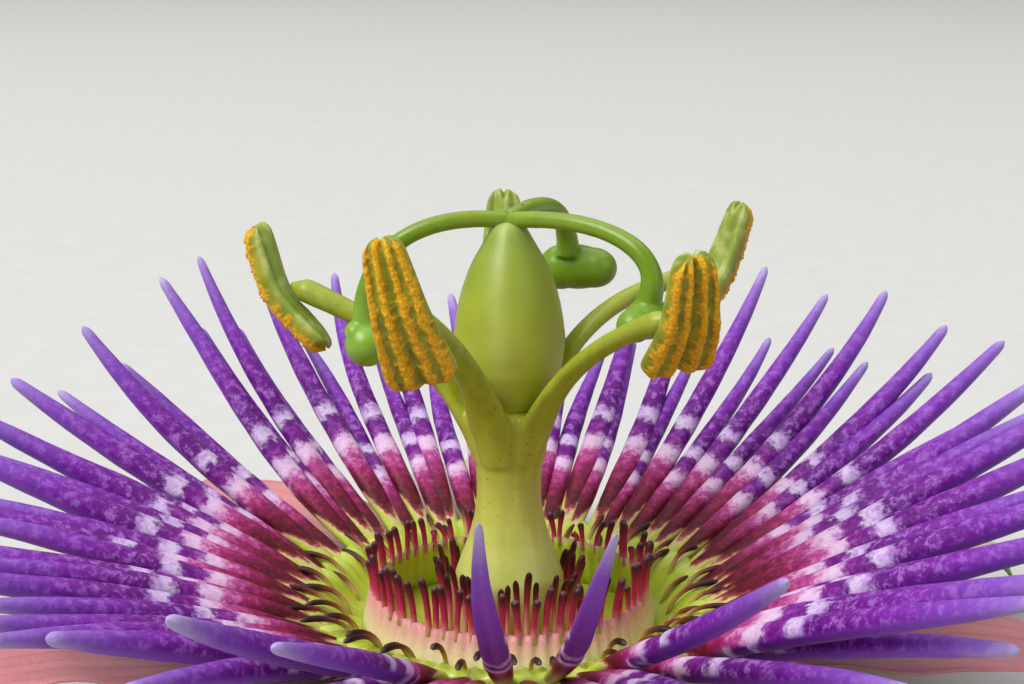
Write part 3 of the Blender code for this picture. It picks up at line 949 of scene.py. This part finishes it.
def build_operculum(sizes):
    """Pleated membrane over the nectar chamber, fringed with erect stalks."""
    rng = random.Random(5)
    skin = Skin()
    profile = (
        (12.5, -4.1, 0.5, 0.0), (12.25, -3.4, 0.45, 0.08), (12.0, -2.5, 0.42, 0.18),
        (11.8, -1.7, 0.38, 0.28), (11.7, -1.0, 0.32, MEMBRANE_EDGE),
    )
    count = sizes.fringe_stalks
    pleated_ring(skin, count, profile, 0.13)
    for i in range(count):
        azimuth = 360.0 * i / count + rng.uniform(-1.9, 1.9)
        top = 3.0 + rng.uniform(-0.8, 0.5) - (0.9 if rng.random() < 0.2 else 0.0)
        behind = max(0.0, math.sin(math.radians(azimuth - 8.0)))
        top -= 0.7 * behind
        lean = rng.uniform(-0.6, 0.6)
        out = rng.uniform(-0.35, 0.5)
        rise = fringe_rise(azimuth)
        controls = (
            (11.75, -1.8 + rise, 0.0), (11.7, rise, 0.0),
            (11.8 + out * 0.4, top * 0.6, lean * 0.5), (11.95 + out, top, lean),
        )
        start = len(skin.bm.verts)
        width = rng.uniform(0.60, 0.76) * (1.0 - 0.2 * behind)
        small_stalk(skin, azimuth, controls, width, BODY_SEED)
        skin.retone(start, "along", lambda along: 0.30 + 0.70 * along)
    skin.finish("operculum_with_fringe", fringe_finish(), ["operculum_fringe"], "fringe")


INNER_STALKS = 44


def build_inner_fringe():
    """Dense fringe that stands against the column's foot."""
    rng = random.Random(9)
    skin = Skin()
    for i in range(INNER_STALKS):
        azimuth = 360.0 * i / INNER_STALKS + rng.uniform(-2.0, 2.0)
        top = 2.0 + rng.uniform(-1.0, 0.6)
        lean = rng.uniform(-0.4, 0.4)
        controls = (
            (5.9, -4.3, 0.0), (5.75, -1.6, 0.0), (5.7, top - 1.6, lean * 0.4),
            (5.9 + rng.uniform(-0.1, 0.7), top, lean),
        )
        small_stalk(skin, azimuth, controls, rng.uniform(0.50, 0.66), rng.random())
    skin.finish("inner_fringe_stalks", inner_fringe_finish(), ["inner_fringe"], "inner_fringe")


def build_cup(sizes, colours):
    """Calyx cup: nectar floor, ribbed slope under the filaments' feet, rim and dimpled base."""
    profile = (
        (0.3, -4.45), (3.0, -4.45), (5.5, -4.45), (8.0, -4.4), (10.2, -4.35), (11.8, -4.2),
        (12.8, -3.75), (13.7, -2.9), (14.5, -1.9), (15.3, -0.9), (16.1, -0.15), (16.8, 0.2),
        (17.4, 0.25), (17.8, -0.1), (17.75, -0.9), (17.6, -2.0), (17.2, -3.3), (16.2, -4.9),
        (14.6, -6.4), (12.5, -7.7), (10.3, -8.5), (8.2, -8.95), (6.8, -9.0), (5.4, -8.85),
        (4.3, -8.2), (3.3, -7.2), (2.4, -6.4), (0.3, -6.3),
    )
    skin = Skin()
    steps, ribs, inside_rows = 304, sizes.long_filaments * 2, 14
    rows = []
    for number, (radius, height) in enumerate(profile):
        loop = []
        ribbed = max(0.0, 1.0 - abs(radius - 16.3) / 3.2) if number < inside_rows else 0.0
        outside = 1.0 if number > inside_rows and radius > 5.0 else 0.0
        for i in range(steps):
            turn = 360.0 * i / steps
            angle = math.radians(turn)
            rib = 0.20 * ribbed * math.cos(angle * ribs)
            sink = slope_dip(turn, radius)
            if number >= inside_rows:
                sink = dip(turn) * max(0.0, min(1.0, (height + 7.5) / 7.5))
            lobe = 0.22 * outside * math.cos(angle * 5 - math.radians(105))
            lobe *= min(1, (9 + height) / 4)
            loop.append((polar(turn, radius + lobe, height + rib + sink), ribbed))
        rows.append((number / (len(profile) - 1), loop))
    skin.loft(rows, BODY_SEED)
    skin.finish("calyx_cup_flesh", cup_finish(colours), ["calyx_cup"], "calyx")


def build_stalk():
    """Stalk cut flush under the cup, slightly oval, its pith sunk a little."""
    skin = Skin()
    profile = (
        (0.25, -8.55, 0.0), (0.9, -8.62, 0.12), (1.35, -8.75, 0.20), (1.70, -8.80, 0.30),
        (1.86, -8.65, 0.42), (1.88, -8.2, 0.55), (1.84, -7.5, 0.7), (1.86, -6.9, 0.9),
        (1.6, -6.6, 1.0),
    )
    rows = []
    for radius, height, along in profile:
        loop = []
        for i in range(40):
            turn = 360.0 * i / 40
            angle = math.radians(turn)
            rib = 1.0 + 0.03 * math.cos(angle * 9) + 0.02 * math.cos(angle * 2)
            loop.append((polar(turn, radius * rib, height), 0.5))
        rows.append((along, loop))
    skin.loft(rows, BODY_SEED)
    skin.finish("stalk_cut_flush", stalk_finish(), ["peduncle_stub"], "stalk")


def tepal_line(t, reach, droop, lift):
    """Radius and height above the rim of a tepal's middle line."""
    radius = TEPAL_FOOT - 1.1 + (reach - TEPAL_FOOT + 1.1) * t
    height = -1.75 - 0.9 * math.sin(math.pi * min(1.0, t * 1.6)) + 0.5 * t - droop * t ** 3
    return radius, height + lift * math.sin(math.pi * t)


def build_tepal(name, node, azimuth, reach, droop, widest, outline, finish, slot, rng, awn):
    """One tepal: a thin closed sheet, cupped across, with a wavy edge."""
    rows_count, columns = 44, 20
    skin = Skin()
    rows = []
    wave, lift = rng.uniform(0, math.tau), rng.uniform(-0.5, 0.4)
    for row in range(rows_count + 1):
        t = row / rows_count
        radius, height = tepal_line(t, reach, droop, lift)
        half = widest / 2 * between(outline, t)
        thick = 0.42 * (1.0 - 0.35 * t)
        top, bottom = [], []
        for column in range(columns + 1):
            v = column / columns * 2 - 1
            edge = abs(v) ** 3
            bend = radius - 1.1 * t * v * v * (1.0 if t < 0.97 else 0.3)
            cup = 0.85 * v * v * math.sin(math.pi * min(1.0, t * 1.05)) * 0.8
            ripple = 0.35 * edge * math.sin(wave + t * 17 + v) * math.sin(math.pi * t)
            keel = -0.25 * math.exp(-(v / 0.12) ** 2) * (1 - t)
            middle = height + cup + ripple + keel + 0.8 * dip(azimuth) * (1 - t) ** 2
            half_thick = thick * (1.0 - 0.75 * abs(v) ** 6)
            top.append((polar(azimuth, bend, middle + half_thick, v * half), 1.0, v))
            bottom.append((polar(azimuth, bend, middle - half_thick, v * half), 0.0, v))
        rows.append((t, top + bottom[::-1]))
    loft_sheet(skin, rows)
    if awn:
        radius, height = tepal_line(0.93, reach, droop, lift)
        controls = (
            (radius, height - 0.3, 0.0), (radius + 1.0, height - 1.2, 0.0),
            (radius + 2.0, height - 2.4, 0.0), (radius + 2.6, height - 3.6, 0.0),
        )
        start = len(skin.bm.verts)
        small_stalk(skin, azimuth, controls, 1.0, BODY_SEED, swell=0.35)
        skin.retone(start, "upper", lambda upper: 0.0)
    skin.finish(name, finish, [node], slot)


def loft_sheet(skin, rows):
    """Loft a closed sheet whose seed value runs across it, for its veins."""
    made = []
    for along, loop in rows:
        made.append([
            skin.point(place, (along, upper, 0.5 + 0.5 * across)) for place, upper, across in loop
        ])
    skin.wall(made)
    size = len(made[0])
    half = size // 2
    for ring, flip in ((made[0], True), (made[-1], False)):
        for i in range(half - 1):
            quad = (ring[i], ring[i + 1], ring[size - 2 - i], ring[size - 1 - i])
            skin.bm.faces.new(quad if flip else quad[::-1])


SEPAL_AZIMUTHS = (21.0, 93.0, 165.0, 237.0, 309.0)
PETAL_OFFSET = 36.0      # a petal stands midway between two sepals
SEPAL_REACH, PETAL_REACH = 51.6, 51.0
SEPAL_DROOP, PETAL_DROOP = 2.2, 1.4


def build_tepals(sizes, colours):
    """Five sepals and the five petals between them."""
    rng = random.Random(23)
    sepal_outline = (
        (0.0, 0.58), (0.14, 0.70), (0.32, 0.90), (0.52, 1.0), (0.72, 0.93), (0.88, 0.66),
        (0.96, 0.38), (1.0, 0.10),
    )
    petal_outline = (
        (0.0, 0.60), (0.14, 0.72), (0.32, 0.90), (0.50, 1.0), (0.70, 0.93), (0.87, 0.66),
        (0.96, 0.38), (1.0, 0.08),
    )
    sepal = tepal_finish(
        "sepal_tissue_cream_and_green",
        [(0.0, "#C9D08A"), (0.2, "#E4E0C4"), (0.6, "#E9DCD8"), (0.9, "#D8D6A8"), (1.0, "#9CB458")],
        [(0.0, "#8CA048"), (0.5, "#96AE54"), (0.9, "#84A444"), (1.0, "#6C9A34")],
        "#C8C89A",
    )
    # The petals' upper pink is partly the tissue's colour and partly painted light, lighter to
    # offset the crown's shadow that falls on the petals.
    petal = tepal_finish(
        "petal_tissue_pink_with_painted_light",
        [
            (0.0, "#E0C8A8"), (0.2, "#E8B4A8"), (0.6, colours.petal), (0.9, "#DC868C"),
            (1.0, "#D48C8E"),
        ],
        [(0.0, "#C8C09A"), (0.3, "#DCA8A0"), (0.7, "#D08C8C"), (1.0, "#C88488")],
        "#CC7078",
    )
    for number, azimuth in enumerate(SEPAL_AZIMUTHS, start=1):
        build_tepal(
            f"sepal_blade_{number}", f"sepal_{number}", azimuth, SEPAL_REACH, SEPAL_DROOP,
            sizes.sepal_width / MM, sepal_outline, sepal, "sepal", rng, True,
        )
        build_tepal(
            f"petal_blade_{number}", f"petal_{number}", azimuth + PETAL_OFFSET, PETAL_REACH,
            PETAL_DROOP,
            sizes.petal_width / MM, petal_outline, petal, "petal", rng, False,
        )


STAMENS = (
    # azimuth, reach and height of the strap's end; of the anther: direction of its upper end
    # (outward, sideways, up), azimuth its pollen faces, twist, (sideways, down) from the strap,
    # and girth
    (21.0, 18.9, 25.5, (0.52, 0.02, 0.86), 36.0, 8.0, (0.7, 0.0), 0.72),
    (92.2, 19.0, 25.5, (0.44, 0.0, 0.90), 92.0, 0.0, (-0.3, 0.8), 1.0),
    (165.0, 19.6, 24.8, (0.50, 0.0, 0.86), 172.0, -14.0, (0.0, 0.9), 1.0),
    (243.8, 18.0, 26.4, (0.22, -0.19, 0.955), 262.0, 0.0, (0.2, 0.3), 1.08),
    (309.8, 19.4, 25.7, (0.465, -0.30, 0.83), 287.0, 0.0, (1.1, 0.5), 1.14),
)
# How steeply each strap leaves the column, and its girth.
STRAPS = ((0.85, 0.84), (0.0, 1.0), (0.0, 1.0), (0.0, 1.0), (0.0, 0.88))


def strap_stations(azimuth, reach, height, steep, girth):
    """A stamen's strap: flat and broad where it leaves the column, round at its end."""
    controls = [
        Vector((2.2, COLUMN_TOP - 4.0)),
        Vector((4.4 - 1.2 * steep, COLUMN_TOP + 2.6 + 3.2 * steep)),
        Vector((9.4 - 0.9 * steep, height - 3.6 + 3.6 * steep)),
        Vector((reach, height)),
    ]
    points, values = [], []
    for i in range(23):
        t = i / 22
        flat = bezier(controls, t)
        points.append(polar(azimuth, flat.x, flat.y))
        values.append(t)
    stations = []
    for point, (across, up), t in zip(points, run_frames(points, azimuth), values):
        size = girth + (1.0 - girth) * max(0.0, 1.0 - 4.0 * t)
        wide = straight(((0.0, 1.6), (0.2, 2.0), (0.45, 1.40), (0.7, 1.10), (1.0, 1.18)), t)
        deep = straight(((0.0, 1.0), (0.3, 0.84), (0.8, 0.92), (1.0, 1.12)), t)
        tip = rounded_end(t, 0.06) * size
        stations.append((point, across, up, wide * tip, deep * tip, t))
    return stations


def build_column():
    """The column with its five straps, grown together: bodies fused and softened."""
    skin = Skin()
    profile = (
        (5.3, -4.2), (5.1, -3.0), (4.9, -1.2), (4.6, 0.6), (4.05, 2.2), (3.45, 3.8), (3.0, 5.4),
        (2.78, 7.0), (2.74, 8.6), (2.84, 10.0), (3.1, 11.4), (3.45, 12.8), (3.75, 14.0),
        (3.7, COLUMN_TOP), (3.0, COLUMN_TOP + 0.5),
    )
    rows = []
    for number, (radius, height) in enumerate(profile):
        loop = []
        for i in range(48):
            turn = 360.0 * i / 48
            facet = 1.0 + 0.018 * math.cos(math.radians(turn - 21.0) * 5) * min(1.0, number / 8)
            loop.append((polar(turn, radius * facet, height), 0.5))
        rows.append((0.5, loop))
    skin.loft(rows)
    for (azimuth, reach, height, *_), (steep, girth) in zip(STAMENS, STRAPS):
        skin.tube(strap_stations(azimuth, reach, height, steep, girth), 16)
    nodes = ["column"] + [f"stamen_filament_{i}" for i in range(1, 6)]
    item = skin.finish("column_with_straps", column_finish(), nodes, "column")
    fuse(item, 0.24, 3)


def build_ovary(sizes):
    """Egg-shaped ovary with three faint carpel ridges, drawn out to its tip."""
    half = sizes.ovary_width / MM / 2
    bottom, top = COLUMN_TOP - 0.4, 31.0
    shape = (
        (0.0, 0.50), (0.06, 0.64), (0.14, 0.80), (0.24, 0.93), (0.34, 0.99), (0.41, 1.0),
        (0.50, 0.965), (0.58, 0.915), (0.66, 0.84), (0.74, 0.74), (0.80, 0.645), (0.86, 0.52),
        (0.91, 0.42), (0.95, 0.34), (0.98, 0.28), (1.0, 0.20),
    )
    skin = Skin()
    rows = []
    for number in range(61):
        t = number / 60
        radius = half * straight(shape, t)
        loop = []
        for i in range(72):
            turn = 360.0 * i / 72
            ridge = math.cos(math.radians(turn + 90.0 + 12.0) * 3)
            sharp = max(0.0, ridge) ** 6
            grown = radius * (1.0 + 0.012 * ridge + 0.010 * sharp)
            loop.append((polar(turn, grown, bottom + (top - bottom) * t), sharp))
        rows.append((t, loop))
    skin.loft(rows, BODY_SEED)
    item = skin.finish("ovary_wall", ovary_finish(), ["ovary"], "ovary")
    soften(item, 4)


STYLES = (
    # azimuth, (radius, height) of the arch's four control points, and the stigma's lobes:
    # (radius, sideways, height) of a lobe's middle and its half sizes the same way
    (
        186.0, ((0.0, 31.0), (7.6, 32.0), (12.6, 28.6), (12.0, 22.4)),
        (((11.9, 0.0, 20.8), (1.9, 2.2, 1.9)), ((12.9, 0.3, 21.9), (0.9, 1.1, 0.9))),
    ),
    (
        325.0, ((0.0, 31.0), (7.5, 32.2), (15.6, 30.6), (13.6, 25.6)),
        (((13.4, 0.2, 24.2), (1.8, 2.3, 1.7)), ((13.3, -1.6, 23.9), (1.5, 1.5, 1.4))),
    ),
    (
        60.0, ((0.0, 31.2), (4.2, 32.0), (10.0, 32.5), (10.4, 26.6)),
        (
            ((11.5, 1.3, 25.3), (2.0, 2.0, 2.0)), ((11.9, 0.0, 25.4), (2.1, 3.2, 2.0)),
            ((12.1, -1.6, 25.4), (1.8, 2.2, 1.8)),
        ),
    ),
)


def build_styles(sizes):
    """Three styles that arch from the ovary's tip and hang down to kidney-shaped stigmas."""
    finish = style_finish()
    width = sizes.style_width / MM
    for number, (azimuth, arch, lobes) in enumerate(STYLES, start=1):
        skin = Skin()
        controls = [Vector(c) for c in arch]
        points = []
        for i in range(29):
            flat = bezier(controls, i / 28)
            points.append(polar(azimuth, flat.x, flat.y))
        stations = []
        for i, (point, (across, up)) in enumerate(zip(points, run_frames(points, azimuth))):
            t = i / 28
            half = width / 2 * between(((0.0, 0.95), (0.4, 0.95), (0.75, 1.08), (1.0, 1.35)), t)
            stations.append((point, across, up, half, half, t))
        skin.tube(stations, 14)
        for (radius, sideways, height), halves in lobes:
            add_lobe(skin, azimuth, polar(azimuth, radius, height, sideways), halves)
        name = f"style_and_stigma_{number}"
        item = skin.finish(name, finish, [f"style_{number}"], "style")
        fuse(item, 0.17, 7)


def add_lobe(skin, azimuth, centre, halves):
    """One rounded lobe of a stigma."""
    spin = Matrix.Rotation(math.radians(azimuth), 3, "Z")
    rows = []
    for i in range(1, 18):
        t = i / 18
        ring = math.sin(math.pi * t)
        loop = []
        for j in range(24):
            turn = math.tau * j / 24
            local = Vector((
                math.cos(turn) * ring * halves[0], math.sin(turn) * ring * halves[1],
                -math.cos(math.pi * t) * halves[2],
            ))
            loop.append((centre + spin @ local, 0.5))
        rows.append((1.0, loop))
    skin.loft(rows)


def anther_point(u, v, length, shift):
    """Local point, front share and crust share of an anther's skin at u along, v round."""
    turn = math.tau * v
    side, front = math.sin(turn), math.cos(turn)
    wide = 1.50 + 0.66 * (1.0 - u)          # broader towards its lower end
    y = wide * math.copysign(abs(side) ** 0.75, side)
    x = 0.80 * math.copysign(abs(front) ** 0.62, front)
    share = y / wide
    strands = sum(math.exp(-((share - c) / 0.145) ** 2) for c in (-0.80, -0.30, 0.30, 0.80))
    groove = math.exp(-(share / 0.13) ** 2)
    place = Vector((y * 1.6, u * length * 0.5, shift))
    grain = noise.noise(place * 1.6) * 0.55 + noise.noise(place * 3.9) * 0.55
    crust = 0.0
    if front > 0.0:
        crust = max(0.0, min(1.0, 0.10 + 0.88 * strands + 0.80 * grain))
        facing = min(1.0, front * 2.0)
        beads = max(0.0, noise.noise(place * 5.2))
        x += facing * (0.26 * strands - 0.48 * groove + 0.26 * crust + 0.42 * beads * crust)
    else:
        x -= 0.30 * math.exp(-(share / 0.32) ** 2) * min(1.0, abs(u) * 2.2)
        x += 0.28 * math.exp(-((abs(share) - 0.55) / 0.16) ** 2)
    taper = (1.0 - abs(u) ** 13) ** 0.42 if abs(u) < 1 else 0.0
    reach = length / 2 - 1.0 * math.exp(-(share / 0.20) ** 2) - 0.45 * share ** 4
    z = u * reach * (1.0 + 0.03 * noise.noise(Vector((share * 3, shift, 0))))
    return Vector((x * (0.22 + 0.78 * taper), y * (0.50 + 0.50 * taper), z)), front, crust


def build_anther(number, finish, length):
    """One anther at the end of its strap, pollen side away from the column."""
    azimuth, reach, height, axis, facing, twist, (aside, drop), girth = STAMENS[number - 1]
    skin = Skin()
    spin = Matrix.Rotation(math.radians(azimuth), 3, "Z")
    upward = (spin @ Vector(axis)).normalized()
    front = polar(facing, 1.0, -RIM)
    front = (front - upward * front.dot(upward)).normalized()
    rotation = Matrix((front, upward.cross(front), upward)).transposed()
    place = polar(azimuth, reach + 0.8, height - drop, aside)
    long_steps, round_steps = 84, 72
    rows = []
    for i in range(long_steps + 1):
        u = -1.0 + 2.0 * i / long_steps
        loop = []
        for j in range(round_steps):
            local, face, crust = anther_point(u, j / round_steps, length, number * 9.7)
            local.y *= girth
            local = Matrix.Rotation(math.radians(twist * u), 3, "Z") @ local
            local.x -= 0.24 * (math.hypot(local.z, 1.3) - 1.3)
            loop.append((place + rotation @ local, 0.5 + 0.5 * face, crust))
        rows.append(loop)
    made = [
        [skin.point(spot, (crust, upper, BODY_SEED)) for spot, upper, crust in loop]
        for loop in rows
    ]
    skin.wall(made)
    for ring, flip in ((made[0], True), (made[-1], False)):
        middle = sum((vert.co for vert in ring), Vector()) / round_steps / MM
        skin.cap(ring, middle, (0.5, 0.5, BODY_SEED), flip)
    skin.finish(f"anther_with_pollen_{number}", finish, [f"anther_{number}"], "pollen")


# ---------------------------------------------------------------- stage


FLOOR_HALF = 6.0         # metres from the flower to the floor's edge


def build_floor():
    """A plain pale floor, level with the underside of the flower."""
    bm = bmesh.new()
    bmesh.ops.create_grid(bm, x_segments=8, y_segments=8, size=FLOOR_HALF)
    mesh = bpy.data.meshes.new("pale_floor")
    bm.to_mesh(mesh)
    bm.free()
    item = bpy.data.objects.new("pale_floor", mesh)
    bpy.context.scene.collection.objects.link(item)
    # Matt paper: dead flat, with a cloudiness of its fibres too faint to draw the eye.
    made, tree, shader, where, _ = new_finish("matt_paper_pale", 0.9)
    fibre = add(tree, "TexNoise", {"Vector": where, "Scale": per_metre(6.0), "Detail": 3.0})
    tone = add(
        tree, "ValToRGB", {"Fac": fibre.outputs["Fac"]},
        stops=[(0.3, "#CFCECA"), (0.7, "#D3D2CE")],
    )
    tree.links.new(tone.outputs["Color"], shader.inputs["Base Color"])
    mesh.materials.append(made)


def add_light(name, place, target, size, power, colour):
    """A soft square lamp that looks at the flower."""
    data = bpy.data.lights.new(name, "AREA")
    data.shape = "SQUARE"
    data.size = size
    data.energy = power
    data.color = linear(colour)
    item = bpy.data.objects.new(name, data)
    item.location = place
    item.rotation_euler = (Vector(target) - Vector(place)).to_track_quat("-Z", "Y").to_euler()
    bpy.context.scene.collection.objects.link(item)


def build_lights():
    """Large soft lamp above and to the left, a weak fill, a wide overhead, a pale surround."""
    middle = (0.0, 0.0, 0.025)
    add_light("softbox_key", (-1.64, -1.17, 2.34), middle, 1.75, 90.0, "#FFFFFF")
    add_light("softbox_fill", (0.60, -0.50, 0.40), middle, 0.60, 1.2, "#F6F8FF")
    add_light("overhead_wide", (0.0, 1.3, 2.6), (0.0, 1.3, 0.0), 4.0, 52.0, "#FFFFFF")
    world = bpy.data.worlds.new("pale_surround")
    world.use_nodes = True
    back = world.node_tree.nodes["Background"]
    back.inputs["Color"].default_value = solid("#EDEFF2")
    back.inputs["Strength"].default_value = 0.22
    bpy.context.scene.world = world
    bpy.context.scene.view_settings.view_transform = "Standard"
    bpy.context.scene.view_settings.look = "None"


def build_camera():
    """Camera low in front, looking a little down at the column."""
    data = bpy.data.cameras.new("flower_camera")
    data.lens = LENS
    data.sensor_width = SENSOR
    data.clip_start = 0.01
    item = bpy.data.objects.new("flower_camera", data)
    item.location = Vector((CAMERA_ASIDE, -CAMERA_AWAY, RIM + CAMERA_UP)) * MM
    item.rotation_euler = (math.radians(90.0 - CAMERA_TILT), 0.0, 0.0)
    bpy.context.scene.collection.objects.link(item)
    bpy.context.scene.camera = item


# ---------------------------------------------------------------- operators and panel


class FLOWER_OT_stage(bpy.types.Operator):
    """Make the floor, the lamps, the surround and the camera"""

    bl_idname = "flower.stage"
    bl_label = "Stage"

    def execute(self, context):
        build_floor()
        build_lights()
        build_camera()
        return {"FINISHED"}


class FLOWER_OT_cup(bpy.types.Operator):
    """Make the calyx cup and the cut stalk under it"""

    bl_idname = "flower.cup"
    bl_label = "Cup and stalk"

    def execute(self, context):
        scene = context.scene
        build_cup(scene.flower_sizes, scene.flower_colours)
        build_stalk()
        return {"FINISHED"}


class FLOWER_OT_tepals(bpy.types.Operator):
    """Make the five sepals and the five petals"""

    bl_idname = "flower.tepals"
    bl_label = "Sepals and petals"

    def execute(self, context):
        build_tepals(context.scene.flower_sizes, context.scene.flower_colours)
        return {"FINISHED"}


class FLOWER_OT_long_filaments(bpy.types.Operator):
    """Make the two rows of long banded filaments"""

    bl_idname = "flower.long_filaments"
    bl_label = "Long filaments"

    def execute(self, context):
        build_long_rows(context.scene.flower_sizes, context.scene.flower_colours)
        return {"FINISHED"}


class FLOWER_OT_short_filaments(bpy.types.Operator):
    """Make the hooks, the operculum's fringe and the inner fringe"""

    bl_idname = "flower.short_filaments"
    bl_label = "Short filaments"

    def execute(self, context):
        sizes = context.scene.flower_sizes
        build_hooks(sizes)
        build_operculum(sizes)
        build_inner_fringe()
        return {"FINISHED"}


class FLOWER_OT_column(bpy.types.Operator):
    """Make the column with the five straps that carry the anthers"""

    bl_idname = "flower.column"
    bl_label = "Column and straps"

    def execute(self, context):
        build_column()
        return {"FINISHED"}


class FLOWER_OT_anthers(bpy.types.Operator):
    """Make the five anthers with their pollen"""

    bl_idname = "flower.anthers"
    bl_label = "Anthers"

    def execute(self, context):
        scene = context.scene
        finish = anther_finish(scene.flower_colours)
        length = scene.flower_sizes.anther_length / MM
        for number in range(1, len(STAMENS) + 1):
            build_anther(number, finish, length)
        return {"FINISHED"}


class FLOWER_OT_pistil(bpy.types.Operator):
    """Make the ovary and the three styles with their stigmas"""

    bl_idname = "flower.pistil"
    bl_label = "Ovary and styles"

    def execute(self, context):
        sizes = context.scene.flower_sizes
        build_ovary(sizes)
        build_styles(sizes)
        return {"FINISHED"}


OPERATORS = (
    FLOWER_OT_stage, FLOWER_OT_cup, FLOWER_OT_tepals, FLOWER_OT_long_filaments,
    FLOWER_OT_short_filaments, FLOWER_OT_column, FLOWER_OT_anthers, FLOWER_OT_pistil,
)


class VIEW3D_PT_passion_flower(bpy.types.Panel):
    """Lists the flower's sizes, colours and operators"""

    bl_label = "Passion flower"
    bl_space_type = "VIEW_3D"
    bl_region_type = "UI"
    bl_category = "Passion flower"

    def draw(self, context):
        for group in (context.scene.flower_sizes, context.scene.flower_colours):
            for name in group.bl_rna.properties.keys():
                if name not in ("rna_type", "name"):
                    self.layout.prop(group, name)
        for operator in OPERATORS:
            self.layout.operator(operator.bl_idname)


CLASSES = (FlowerSizes, FlowerColours, *OPERATORS, VIEW3D_PT_passion_flower)


def register():
    for cls in CLASSES:
        bpy.utils.register_class(cls)
    bpy.types.Scene.flower_sizes = PointerProperty(type=FlowerSizes)
    bpy.types.Scene.flower_colours = PointerProperty(type=FlowerColours)


def unregister():
    del bpy.types.Scene.flower_colours
    del bpy.types.Scene.flower_sizes
    for cls in reversed(CLASSES):
        bpy.utils.unregister_class(cls)


def main():
    register()
    bpy.ops.flower.stage()
    bpy.ops.flower.cup()
    bpy.ops.flower.tepals()
    bpy.ops.flower.long_filaments()
    bpy.ops.flower.short_filaments()
    bpy.ops.flower.column()
    bpy.ops.flower.anthers()
    bpy.ops.flower.pistil()


if __name__ == "__main__":
    main()
